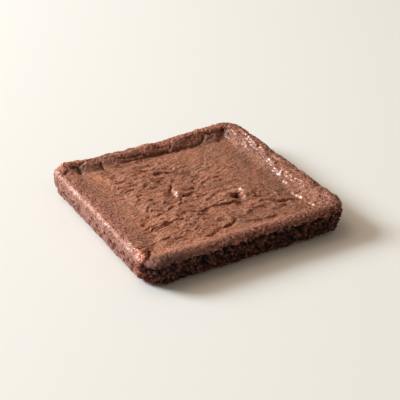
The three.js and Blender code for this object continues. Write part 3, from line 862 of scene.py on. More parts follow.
def tear_relief(x, y, tears, facet=0.0):
    """Torn edges along straight stretches. A bow bends the lip like a parabola, and the ends fade
    out. facet is the width of a straight drop for each millimetre of rise, if the drop isn't the
    usual eased one. Gives the height and how strongly each place is a lip, a foot or the middle of
    the drop."""
    height, lip, foot, face = (np.zeros(x.shape) for _ in range(4))
    ease = straight if facet else smooth
    for start, end, rise, behind, bow in tears:
        drop = facet * rise or TEAR_DROP
        run = np.subtract(end, start)
        half = np.hypot(*run) / 2
        along = ((x - start[0]) * run[0] + (y - start[1]) * run[1]) / (2 * half) - half
        across = ((x - start[0]) * run[1] - (y - start[1]) * run[0]) / (2 * half)
        near = (np.abs(along) < half) & (np.abs(across) < TEAR_REACH * behind + abs(bow))
        share = along[near] / half
        ahead = across[near] - bow * (1 - share**2)
        fade = 1 - smooth_step(TEAR_WHOLE, 1.0, np.abs(share))
        height[near] += rise * fade * torn_profile(ahead, behind, drop, ease)
        strength = fade * min(rise, 1.0)
        for mark, middle, width in ((lip, *LIP), (foot, drop, FOOT_WIDTH), (face, drop / 2, drop)):
            mark[near] = np.maximum(mark[near], strength * bell(ahead, middle, width))
    return SimpleNamespace(height=height, lip=lip, foot=foot, face=face)


def torn_levels(x, y):
    """Torn edges along the levels of stretched noises. The distance to the level is the noise over
    its climb across the heading, so that the drop is as wide everywhere. Edges fade where the
    noise doesn't climb, and a slow noise breaks them up."""
    height, lip, foot = (np.zeros(x.shape) for _ in range(3))
    gap_size, gap_low, gap_high = TORN_GAPS
    for seed, heading, middle, reach, set_rise in TORN_SETS:
        away = np.hypot(x - middle[0], y - middle[1]) / reach
        near = away < TORN_FAR
        along, across = turned(x[near], y[near], middle, heading)
        fade = np.exp(-away[near] ** 2)
        for own_seed, (size, stretch, level, rise, behind) in enumerate(TORN_SIZES, seed):
            u, v = along / (size * stretch), across / size
            here = noise(u, v, TORN_CUT, own_seed) - level
            further = noise(u, v + CLIMB_STEP, TORN_CUT, own_seed)
            climb = (further - level - here) / CLIMB_STEP
            ahead = -size * here / np.maximum(climb, LEAST_CLIMB)
            gaps = noise(along / gap_size, across / gap_size, GAP_CUT, own_seed)
            strength = set_rise * rise * fade * smooth_step(*TORN_CLIMB, climb)
            strength = strength * smooth_step(gap_low, gap_high, gaps)
            height[near] += strength * torn_profile(ahead, behind)
            shown = np.minimum(strength * TORN_SHOWN, 1.0)
            for mark, place, width in ((lip, *LIP), (foot, LEVEL_FOOT, FOOT_WIDTH)):
                mark[near] = np.maximum(mark[near], shown * bell(ahead, place, width))
    return SimpleNamespace(height=height, lip=lip, foot=foot)


def dot_depth(x, y):
    """Small round pits: a bell shape each, the deepest one counting."""
    return greatest(
        depth * np.exp(-((x - cx) ** 2 + (y - cy) ** 2) / radius**2)
        for cx, cy, radius, depth in DOTS
    )


def crust_grain(x, y):
    """The crumpled grain of the sunken top: stretched patterns with a heading each, blended by
    bell curves about their middles."""
    total = np.zeros(x.shape)
    weights = np.zeros(x.shape)
    for seed, heading, middle, reach in GRAIN_SETS:
        along, across = turned(x, y, middle, heading)
        weight = np.exp(-((along**2 + across**2) / reach**2)) + LEAST_WEIGHT
        total += weight * crumpled(along / GRAIN_STRETCH, across, TORN_CUT, seed, GRAIN_OCTAVES)
        weights += weight
    return total / weights


CRUST_BENDS = ((7.0, 1.8, 111), (2.6, 1.0, 117))  # size, reach and seed
GLINT_BEND, GRAIN_BEND = 0.25, 0.5  # how far the shiny facets and the grain follow the bends
CALM_TEARS = 0.5  # how much of the lesser torn edges is left on the calm crust
GRAIN_LEVEL = 0.15  # the mean of the grain
# Pits are painted darker by their depth, as painted shade
DARK_DOT = 0.9  # the depth at which a pit is as dark as a crease
FACET_SHARPNESS = 1.4
FACET_BREAKS = (2.5, 423)  # size and seed of the noise that breaks up the shine of the facets
FACET_WHOLE = (-0.8, -0.2)  # that noise, from no shine to full shine


def crust_detail(x, y, on_floor):
    """Fine relief of the baked crust on the sunken top: torn edges, shiny facets, pits and the
    crumpled grain. Gives the push and its marks."""
    wx, wy = x, y
    for bend in CRUST_BENDS:
        wx, wy, _ = warped(wx, wy, 0 * x, *bend)
    strength = mix(CALM_TEARS, 1.0, calm(x, y)) * on_floor
    torn = tear_relief(wx, wy, TEARS)
    lesser = torn_levels(wx, wy)
    shiny = tear_relief(mix(x, wx, GLINT_BEND), mix(y, wy, GLINT_BEND), glint_rows(), GLINT_FACET)
    dots = dot_depth(x, y)
    grain = crust_grain(mix(x, wx, GRAIN_BEND), mix(y, wy, GRAIN_BEND)) - GRAIN_LEVEL
    torn_height = TORN_RISE * (torn.height + strength * lesser.height)
    foot = np.maximum(torn.foot, strength * lesser.foot)
    facet = clamp01(shiny.face * FACET_SHARPNESS)
    return SimpleNamespace(
        push=torn_height * on_floor + shiny.height - dots + strength * grain,
        tip=np.maximum(torn.lip, strength * lesser.lip) * on_floor,
        low=np.maximum(foot * on_floor, clamp01(dots / DARK_DOT)),
        gloss=facet * smooth_step(*FACET_WHOLE, noise_of(*FACET_BREAKS, x, y)),
        crevice=GLINT_CREVICE * shiny.foot * (1 - facet),
    )


RIM_BEND = (4.0, 1.2, 121)  # size, reach and seed
RIM_STRETCH = 1.8  # folds of the rim run along it
RIM_SEEDS = (347, 341)  # of the folds across Y and across X
RIM_OCTAVES = ((6.0, 0.4), (3.2, 0.4), (1.9, 0.3))  # size and rise, coarse first
RIM_LEVEL = 0.15  # the mean of the folds
RIM_FOLDS = (0.4, 0.9)  # how strong the folds are on a smooth rim and on a broken one
PIT_SETS = (
    # seed, spacing, share of the places that have a pit, depth
    (131, 3.6, 0.16, 0.8),
    (137, 2.4, 0.20, 0.6),
)
PIT_BOWL = (0.16, 0.46)  # from a pit's bottom to its edge, in units of the spacing
SMOOTH_PITS = 0.3  # how many of the pits a smooth rim has
CRUMBLE_SETS = (
    # seed, spacing, depth of the gaps, step between neighbours
    (161, 4.4, 0.8, 0.4),
    (167, 2.9, 0.6, 0.3),
)
CRUMBLY = (9, 171)  # size and seed of the noise that says where the rim is crumbly
CRUMBLY_FROM = (-0.35, 0.35)  # that noise, from whole to crumbly
GAP = (0.04, 0.26)  # from the middle of a gap to its edge, in units of the spacing


def rim_detail(x, y, z, sideways, lumps):
    """Fine relief of the rim and the skin of the walls: folds along the rim, small pits about some
    of many scattered points, and where the rim is broken small crumbs, each the places nearest to
    one of many scattered points, at different heights with gaps between them. sideways is 1 where
    the rim runs along Y and 0 where it runs along X. Gives the push and its marks."""
    wx, wy, wz = warped(x, y, z, *RIM_BEND)
    across_y = crumpled(wx / RIM_STRETCH, wy, wz, RIM_SEEDS[0], RIM_OCTAVES)
    across_x = crumpled(wx, wy / RIM_STRETCH, wz, RIM_SEEDS[1], RIM_OCTAVES)
    broken = clamp01(2 * lumps)
    push = mix(*RIM_FOLDS, broken) * (mix(across_y, across_x, sideways) - RIM_LEVEL)
    low = np.zeros(x.shape)
    for seed, spacing, share, depth in PIT_SETS:
        near, _, draw = cells(wx, wy, wz, spacing, seed)
        drawn = draw < share * mix(SMOOTH_PITS, 1.0, broken)
        pit = (1 - smooth_step(*PIT_BOWL, near)) * drawn
        push = push - depth * pit
        low = np.maximum(low, pit)
    crumbly = broken * smooth_step(*CRUMBLY_FROM, noise_of(*CRUMBLY, x, y, z))
    for seed, spacing, depth, step in CRUMBLE_SETS:
        near, second, draw = cells(wx, wy, wz, spacing, seed)
        gap = 1 - smooth_step(*GAP, second - near)
        push = push + crumbly * (step * (draw - 0.5) - depth * gap)
        low = np.maximum(low, crumbly * gap * draw)
    return SimpleNamespace(push=push, low=clamp01(low))


CRUMB_BEND = (3.0, 1.6, 141)  # size, reach and seed
CRUMB_HOLES = (
    # seed, spacing, depth
    (81, 5.4, 3.6),
    (85, 3.3, 2.5),
    (89, 2.1, 1.6),
)
DRAWN = 0.06  # how far a place's draw is blended about the share that has a hole
BOWL = (0.30, 0.54)  # from a hole's bottom to its edge, in units of the spacing
RING = (0.5, 0.78)  # where the torn crumb round a hole in the crust ends
LARGE_BOWL, LARGE_RING = (0.4, 1.1), (1.0, 1.6)  # the same of the larger holes, in their radii
LARGE_DEPTH = 1.2  # of a larger hole, beyond its radius
NODULES = ((93, 2.3, 0.6), (94, 1.3, 0.45))
CRUMB_RISE = 0.8  # brings the mean of the crumb back to the wall's level


def crumb_detail(x, y, z, density):
    """The open crumb: holes about scattered points of three sizes, on places bent by a noise so
    that no hole is round. density is the share of the points that have a hole. Gives the depth of
    the holes, how dark they are painted as shade, and the torn crumb round them."""
    wx, wy, wz = warped(x, y, z, *CRUMB_BEND)
    depth, hole, ring = (np.zeros(x.shape) for _ in range(3))
    for seed, spacing, deep in CRUMB_HOLES:
        near, _, draw = cells(wx, wy, wz, spacing, seed)
        drawn = smooth_step(-DRAWN, DRAWN, density - draw)
        bowl = (1 - smooth_step(*BOWL, near)) * drawn
        depth = depth + deep * bowl
        hole = np.maximum(hole, bowl)
        ring = np.maximum(ring, (1 - smooth_step(*RING, near)) * drawn)
    for cx, cy, cz, radius in CRUMB_PLACES:
        away = np.sqrt((wx - cx) ** 2 + (wy - cy) ** 2 + (wz - cz) ** 2) / radius
        bowl = 1 - smooth_step(*LARGE_BOWL, away)
        depth = np.maximum(depth, (LARGE_DEPTH + radius) * bowl)
        hole = np.maximum(hole, bowl)
        ring = np.maximum(ring, 1 - smooth_step(*LARGE_RING, away))
    return depth, hole, ring


WALL_PIT_BEND = (2.2, 0.7, 181)  # size, reach and seed
WALL_PIT_WIDTH = 1.35  # of a pit's section, for a radius of 1
WALL_PIT_EDGE = (1.5, 2.6)  # how steep a pit's edge is, and how flat its bottom
PIT_DEPTH = 0.7
# The pits take painted shade from the darkening of the holes
PIT_SHADE = 0.25  # how dark the pits are, as a share of a deep hole's


def wall_pits(y, z, left):
    """Small pits of the left wall: a steep bell shape each with a flat bottom, the deepest one
    counting, on places bent by a noise."""
    _, wy, wz = warped(0 * y, y, z, *WALL_PIT_BEND)
    steep, flat = WALL_PIT_EDGE
    pits = greatest(
        np.exp(-((((wy - cy) ** 2 + (wz - cz) ** 2) / (WALL_PIT_WIDTH * radius) ** 2) ** steep))
        for cy, cz, radius in WALL_PITS
    )
    return clamp01(flat * pits) * left


PITTED_TOP = 0.035  # the share of small places with a pit, on the top
PITTED_RIM = (0.10, 0.32)  # and on a smooth rim and a broken one
PITTED_LEFT_RIM = 0.04
PITTED_CORNER = (0.25, 0.3, 72, 102)  # added at the front right, from where X less 0.3 Y is 72
SPECKLED_BAND = (0.4, -84, 9.0)  # added by the left rim, and the band's middle and width along X
SPECKLED_FROM = (-85, -70)  # where it starts, along Y
PITTED_WALL = 0.45  # low on the walls
PITTED_LEFT = (0.01, 0.23)  # on the smooth left wall, outside the clusters and in them
LOW_DOWN = (3, 24)  # from all pits of a wall to none, upwards
CLUSTERS = ((8, 11, 9), 411)  # sizes along X, Y and Z and seed of the noise with the clusters
CLUSTER_EDGE = (0.0, 0.6)  # that noise, from outside a cluster to inside


def pitted(x, y, z, skin):
    """The share of small places with a pit: few on the top, more along the rim where it is broken,
    most at the bottom of the walls. On the smooth left wall they come in clusters."""
    left = clamp01(-skin.nx) ** 2
    corner, slant, corner_from, corner_to = PITTED_CORNER
    on_rim = skin.on_rim * mix(mix(*PITTED_RIM, clamp01(2 * skin.lumps)), PITTED_LEFT_RIM, left)
    on_rim += corner * skin.on_rim * smooth_step(corner_from, corner_to, x - slant * y)
    speckled, middle, width = SPECKLED_BAND
    speckled = speckled * bell(x, middle, width) * smooth_step(*SPECKLED_FROM, y)
    on_rim += speckled * (1 - skin.side)
    (size_x, size_y, size_z), seed = CLUSTERS
    cluster = smooth_step(*CLUSTER_EDGE, noise(x / size_x, y / size_y, z / size_z, seed))
    walls = skin.side * (1 - smooth_step(*LOW_DOWN, z))
    walls = walls * mix(PITTED_WALL, mix(*PITTED_LEFT, cluster), left)
    return clamp01(PITTED_TOP + on_rim * (1 - 0.5 * skin.side) + walls)


DULL_STRIP = (0.9, -83, 7.5)  # how dull the band by the left rim is, its middle and width along X
DULL_ENDS = (-82, -62), (62, 70)  # where the strip starts and ends along Y
STREAKS = (0.75, (40, 20), 50)  # how dull the streaks are, their middle and heading
STREAK_SIZE = (30, 7, 401)  # along the heading and across it, with the seed of their noise
STREAK_EDGE = (-0.1, 0.7)  # the noise of the streaks, from none to full
STREAKED = (0.6, -10, 40)  # towards the back right: no streaks where X plus 0.6 Y is -10


def dulled(x, y, on_rim):
    """How grey the crust is: a strip inside the left rim, and soft slanting streaks at the back
    right."""
    dull, middle, width = DULL_STRIP
    start, end = DULL_ENDS
    strip = dull * bell(x, middle, width) * smooth_step(*start, y) * (1 - smooth_step(*end, y))
    dull, middle, heading = STREAKS
    along, across = turned(x, y, middle, heading)
    length, width, seed = STREAK_SIZE
    streaks = smooth_step(*STREAK_EDGE, noise(along / length, across / width, STREAK_CUT, seed))
    slant, low, high = STREAKED
    streaks = dull * streaks * smooth_step(low, high, x + slant * y)
    return clamp01(strip + streaks * (1 - on_rim))


# The darkened crust: painted shade on the faces of the rim that turn from the light
DARKENED_FRONT = (86, 92)  # from none of the darkening to all, towards the front
DARKENED_BACK = (68, 77)  # towards the back,
DARKENED_BACK_FROM = (-53, -46)  # from left to right along the back rim,
DARKENED_RIGHT = (84, 92)  # and towards the right
DARKENED_SHARES = (0.95, 0.4, 0.12)  # of the back slope, the back rim's crest and the right rim
DARKENED_WAVES = (1.5, 9, 431)  # reach, size and seed of the waves in the back slope's edge
DARKENED_PATCHES = (0.3, 16, 7, 433)  # how uneven the back is, size along X and across, and seed


def browned(x, y, z, skin):
    """How much darker crust is laid on: painted shade on the outer half of the front rim and of the
    front left corner, and on the back rim's inner slope, where they turn from the light; less of it
    on the back rim's crest, and a little along the right rim."""
    slope, crest, right = DARKENED_SHARES
    front = smooth_step(*DARKENED_FRONT, -y) * clamp01(-skin.ny) ** 0.5 * (skin.on_rim > 0.5)
    reach, size, seed = DARKENED_WAVES
    back = smooth_step(*DARKENED_BACK, y + reach * noise(x / size, 0, 0, seed))
    back = back * smooth_step(*DARKENED_BACK_FROM, x) * mix(slope, crest, skin.on_rim**2)
    uneven, length, width, seed = DARKENED_PATCHES
    back = back * (1 + uneven * noise(x / length, y / width, z / width, seed))
    right = right * smooth_step(*DARKENED_RIGHT, x) * skin.on_rim
    return clamp01(np.maximum(np.maximum(front, right), back))


LEFT_TONE = 0.81  # of the left wall's skin


def tone(x, y, left):
    """How light the crust is left by the baking and, in a few patches, by painted highlight: bell
    shapes multiplied.
    """
    share = mix(1.0, LEFT_TONE, left)
    for (cx, cy), (reach_x, reach_y), lighter in TONES:
        share *= 1 + lighter * bell(x, cx, reach_x) * bell(y, cy, reach_y)
    return share


# The left shoulder shines where the key light's highlight falls: that line is glossier, and it is
# also painted pale as a painted highlight
SHINY_SHOULDER = (0.81, 0.26)  # the level of the left shoulder that shines, and its width
SHINE_TOP = (0.94, 1.0)  # the levels from which and to which the shine ends above it
SHINE_ENDS = (82, 92)  # where it ends along Y, at both ends
SHINE_BREAKS = (
    # size along Y and Z, seed, what a break leaves of the shine, the noise from broken to whole
    (7, np.inf, 421, 0.4, -0.5, 0.3),
    (2.2, 1.8, 427, 0.6, -0.4, 0.4),
)


def shoulder_gloss_and_painted_highlight(y, z, skin):
    """How shiny the left shoulder is: a narrow line where it turns from the wall to the crest,
    broken up by two noises. The same line is also painted pale, as a painted highlight."""
    line = bell(skin.level, *SHINY_SHOULDER) * clamp01(-1.1 * skin.nx) ** 4
    line = line * (1 - smooth_step(*SHINE_TOP, skin.level))
    for size_y, size_z, seed, left, low, high in SHINE_BREAKS:
        whole = smooth_step(low, high, noise(y / size_y, z / size_z, 0, seed))
        line = line * mix(left, 1.0, whole)
    return line * (1 - smooth_step(*SHINE_ENDS, np.abs(y)))


CRUMB_TOP = 22.0  # where the crust of the walls ends and the open crumb starts
CRUMB_FADE = (-3.2, 3.2)  # above and below it, from crust alone to crumb alone
HOLES_FADE = (-7, 2)  # and from no holes to all
BORDER_BEND = (2.0, 9, 97)  # reach, size and seed of the slow waves in that border,
BORDER_RELIEF = ((98, 3, 1.6), (99, 1.6, 1.0))  # and seed, size and reach of finer ones
BACK_CRUMB = 0.7  # how open the crumb of the back wall is
RED_LEFT, RED_FRONT = (76, 92), (20, 70)  # to the left and the front, from dark to reddish crumb
SMOOTH_FROM = (-76, -68)  # Y with half of Z, where the smooth left wall starts


def left_wall(y, z, skin):
    """1 on the smooth left wall and 0 elsewhere, also low down at the front left corner."""
    return clamp01(-skin.nx) ** 4 * smooth_step(*SMOOTH_FROM, y + 0.5 * z)


def openness(x, y, z, skin, left):
    """Where the walls are open crumb, and the share of places with a hole. The border between
    crust and crumb is ragged, and the holes start above it. On the left wall the crust is
    whole."""
    reach, size, seed = BORDER_BEND
    border = CRUMB_TOP + reach * noise(x / size, y / size, BORDER_CUT, seed)
    border = border + relief(BORDER_RELIEF, x, y, z)
    open_share = skin.side * mix(1.0, BACK_CRUMB, clamp01(skin.ny) ** 2) * (1 - left)
    crumb = open_share * smooth_step(*CRUMB_FADE, border - z)
    return crumb, open_share * smooth_step(*HOLES_FADE, CRUMB_TOP - z)


UNDERSIDE = (0.75, 0.4)  # rings of the underside, each as a share of the one outside it


def plain_body(size):
    """The body without its fine relief as one closed mesh: the top's net, the wall's rings and the
    underside. Gives points in millimetres, faces and the skin: for each point the way the outline
    faces, how much it is on the rim and on the side, its level and how lumpy the rim is."""
    top = net_surface(size)
    round_turn = np.arange(8 * size.rings) / (2 * size.rings)
    share = np.arange(1, size.wall_rings + 1) / size.wall_rings
    wall = wall_surface(size, *np.meshgrid(share, round_turn, indexing="ij"))
    points = np.concatenate([top.points.reshape(-1, 3), wall.points.reshape(-1, 3)])
    skin_count = len(points)

    faces = [net_faces(size.rings)]
    upper = net_rim(size.rings)
    lower = (2 * size.rings + 1) ** 2 + np.arange(len(upper))
    for _ in range(size.wall_rings + len(UNDERSIDE)):
        faces.append(band_faces(upper, lower))
        upper, lower = lower, lower + len(upper)
    outer = points[-len(upper) :]
    for shrink in UNDERSIDE:
        outer = outer * [shrink, shrink, 0]
        points = np.concatenate([points, outer])
    middle = np.full(len(upper), len(points))
    faces.append(np.stack([upper, middle, np.roll(upper, -1)], -1))
    points = np.concatenate([points, np.zeros((1, 3))])

    under = np.zeros(len(points) - skin_count)
    skin = {
        name: np.concatenate([getattr(top, name).ravel(), getattr(wall, name).ravel(), under])
        for name in ("nx", "ny", "on_rim", "level", "side", "lumps")
    }
    return points, np.concatenate(faces), SimpleNamespace(**skin)


FLOOR_EDGE = (0.35, 0.85)  # from the rim's detail alone to the top's, where the rim runs out
GROUNDED = (0.2, 2.5)  # heights from no relief to all of it, so that the foot stays flat
GLINT_SMOOTH = 0.85  # how much of the rim's folds a shiny facet smooths out
CRACK_WIDTH = 0.6  # of the creases' own width
CRACK_FROM, CRACK_TO = 1.0, 2.4  # depths of a crease where it starts to be a crack, and is one
CRACK_DEPTH = 1.6
THIN_CRACK = (0.4, 1.2)  # the same depths of a thin crack
CREASE_DARK = (0.8, 1.5)  # width of a crease's dark bottom, and the depth at which it is dark
BENT = (0.5, 0.6)  # the bend of the surface that is a full tip or crease, and how strong that is
RED_TONE, RED_RATE = 0.8, 1.3  # crust baked darker than this tone is redder too, at this rate
UNEVEN_RIM, UNEVEN_CRUMB = 0.25, 0.9  # how unevenly light the grains of both are
GRAIN_SIZE = (1.9, 1.9, 1.6, 191)  # the size of those grains along X, Y and Z, and their seed


def slab_mesh(size):
    """The whole body with its fine relief: the plain body pushed along its normals, folds and
    pits where it is crust, nodules and holes where it is crumb, then cracks. Gives points in
    millimetres, faces and marks for the material."""
    points, faces, skin = plain_body(size)
    x, y, z = points.T
    crust = crust_detail(x, y, smooth_step(*FLOOR_EDGE, (1 - skin.on_rim) * skin.level))
    rim = rim_detail(x, y, z, skin.nx**2, skin.lumps)
    rim_share = clamp01(skin.on_rim + skin.side)
    ground = smooth_step(*GROUNDED, z)
    smooth_left = left_wall(y, z, skin)
    left = skin.side * smooth_left
    crumb, density = openness(x, y, z, skin, smooth_left)
    hole_depth, hole, ring = (
        part * skin.side * (1 - left) for part in crumb_detail(x, y, z, density)
    )
    pits = wall_pits(y, z, left)

    push = rim.push * rim_share * (1 - crumb) * (1 - GLINT_SMOOTH * crust.gloss)
    push = push + (relief(NODULES, x, y, z) + CRUMB_RISE) * crumb - hole_depth - PIT_DEPTH * pits
    push = crust.push * skin.level + push * ground
    crumb = np.maximum(crumb, ring)
    crack = clamp01((crease_depth(x, y, z, CRACK_WIDTH) - CRACK_FROM) / (CRACK_TO - CRACK_FROM))
    thin = thin_cracks(x, y, z, skin.level)
    push = push - (CRACK_DEPTH * crack + thin) * ground
    thin_from, thin_to = THIN_CRACK
    crack = np.maximum(crack, clamp01((thin - thin_from) / (thin_to - thin_from)))
    crack = np.maximum(crack, crust.crevice)
    points = points + vertex_normals(points, faces) * push[:, None]
    points[:, 2] = np.maximum(points[:, 2], 0)
    points[:, :2] -= (points.min(0) + points.max(0))[:2] / 2

    # The tip mark gathers painted highlight on lips and crests. The crease mark gathers painted
    # shade at the feet of torn edges, in pits, gaps, crease bottoms and hollows. Both are partly
    # the crust's own lighter lips and darker creases
    bent = (push - edge_means(edge_means(push, faces), faces)) / BENT[0]
    tip = np.maximum(crust.tip * skin.level, clamp01(bent) * BENT[1])
    low = np.maximum(crust.low * skin.level, rim.low * rim_share * (1 - crumb))
    width, depth = CREASE_DARK
    low = np.maximum(low, clamp01(crease_depth(x, y, z, width) / depth))
    low = np.maximum(low, clamp01(-bent) * BENT[1])
    # The tone: the baking, with painted highlight in a few patches
    baked = tone(x, y, left)
    low = np.maximum(low, RED_RATE * clamp01(RED_TONE - baked))
    uneven = mix(UNEVEN_RIM * rim_share, UNEVEN_CRUMB, crumb)
    size_x, size_y, size_z, seed = GRAIN_SIZE
    grains = noise(x / size_x, y / size_y, z / size_z, seed)
    # The left shoulder's line of shine: glossier, and painted pale as a highlight
    glaze = shoulder_gloss_and_painted_highlight(y, z, skin)
    marks = {
        "tip": tip, "crease": low, "crack": crack, "rim": rim_share,
        "tone": baked * (1 + uneven * grains),
        "crumb": crumb, "hole": np.maximum(hole, PIT_SHADE * pits), "pit": pits, "pale": left,
        "gloss": np.maximum(crust.gloss, glaze), "glaze": glaze, "browned": browned(x, y, z, skin),
        "open": pitted(x, y, z, skin), "dull": dulled(x, y, skin.on_rim),
        "red": smooth_step(*RED_LEFT, -x) * smooth_step(*RED_FRONT, -y),
    }
    return points, faces, marks


def mesh_object(name, points, faces, marks, surface, smooth_faces=True):
    """A mesh object from points in millimetres, with one point attribute for each mark and the
    material that the function surface makes."""
    mesh = bpy.data.meshes.new(name)
    mesh.vertices.add(len(points))
    mesh.vertices.foreach_set("co", (points * MM).astype(np.float32).ravel())
    mesh.loops.add(faces.size)
    mesh.loops.foreach_set("vertex_index", faces.astype(np.int32).ravel())
    mesh.polygons.add(len(faces))
    mesh.polygons.foreach_set("loop_start", np.arange(0, faces.size, 3, dtype=np.int32))
    mesh.polygons.foreach_set("use_smooth", np.full(len(faces), smooth_faces))
    mesh.update(calc_edges=True)
    mesh.validate()
    for mark, values in marks.items():
        layer = mesh.attributes.new(mark, "FLOAT", "POINT")
        layer.data.foreach_set("value", values.astype(np.float32))
    mesh.materials.append(new_material(surface))
    piece = bpy.data.objects.new(name, mesh)
    bpy.context.scene.collection.objects.link(piece)
    return piece


def add_node(tree, kind, inputs=(), output=0, **settings):
    """One node with its settings. Its inputs are named, or given in their order, and each takes an
    output of another node as a link, or a plain value. Gives the output that is asked for."""
    node = tree.nodes.new("ShaderNode" + kind)
    for name, value in settings.items():
        setattr(node, name, value)
    for name, value in inputs.items() if isinstance(inputs, dict) else enumerate(inputs):
        if isinstance(value, bpy.types.NodeSocket):
            tree.links.new(value, node.inputs[name])
        else:
            node.inputs[name].default_value = value
    return node.outputs[output] if node.outputs else None


def new_material(surface):
    """A material named after the function surface, which is given the means to add nodes and the
    piece's own coordinates, and gives what the shader takes. The IOR is that of sugar, fat and
    laminate."""
    material = bpy.data.materials.new(surface.__name__)
    material.use_nodes = True
    material.node_tree.nodes.clear()
    add = partial(add_node, material.node_tree)
    place = add("TexCoord", output="Object")
    shader = add("BsdfPrincipled", {"IOR": 1.45, **surface(add, place)})
    add("OutputMaterial", {"Surface": shader})
    return material


# Patterns of the crust. The real one has folds 3 to 6 mm apart and mottling as wide. Its sugar
# grain of half a millimetre is too fine to show, so the speckle is drawn at 1.6 mm.
PATTERNS = (
    # name, size in millimetres, detail, distortion
    ("patches", 24, 2, 0),
    ("mottle", 6, 3, 0),
    ("speckle", 1.6, 2, 0),
    ("fold", 6.0, 3, 0.8),
    ("creases", 3.6, 2, 0.8),
    ("blotch", 7, 3, 0.4),
)
SPREAD = (0.33, 0.67)  # the middle of a noise that is spread from 0 to 1
WRINKLE_HEADING = np.radians(8)
WRINKLE_STRETCH = 2.0  # how much longer than wide the finest folds are
LINE_WIDTHS = (("fold", 0.10), ("creases", 0.12))  # half widths, in a noise spread from 0 to 1
PIT_BEND = (1.6, 1.4)  # size and reach in millimetres of the noise that bends the pits
PIT_SPACING = 2.4  # in millimetres
PIT_EDGE = (0.12, 0.45)  # from a pit's bottom to its edge, in units of the spacing
FLECK_LOT = 0.9  # the lots above it are dry flecks


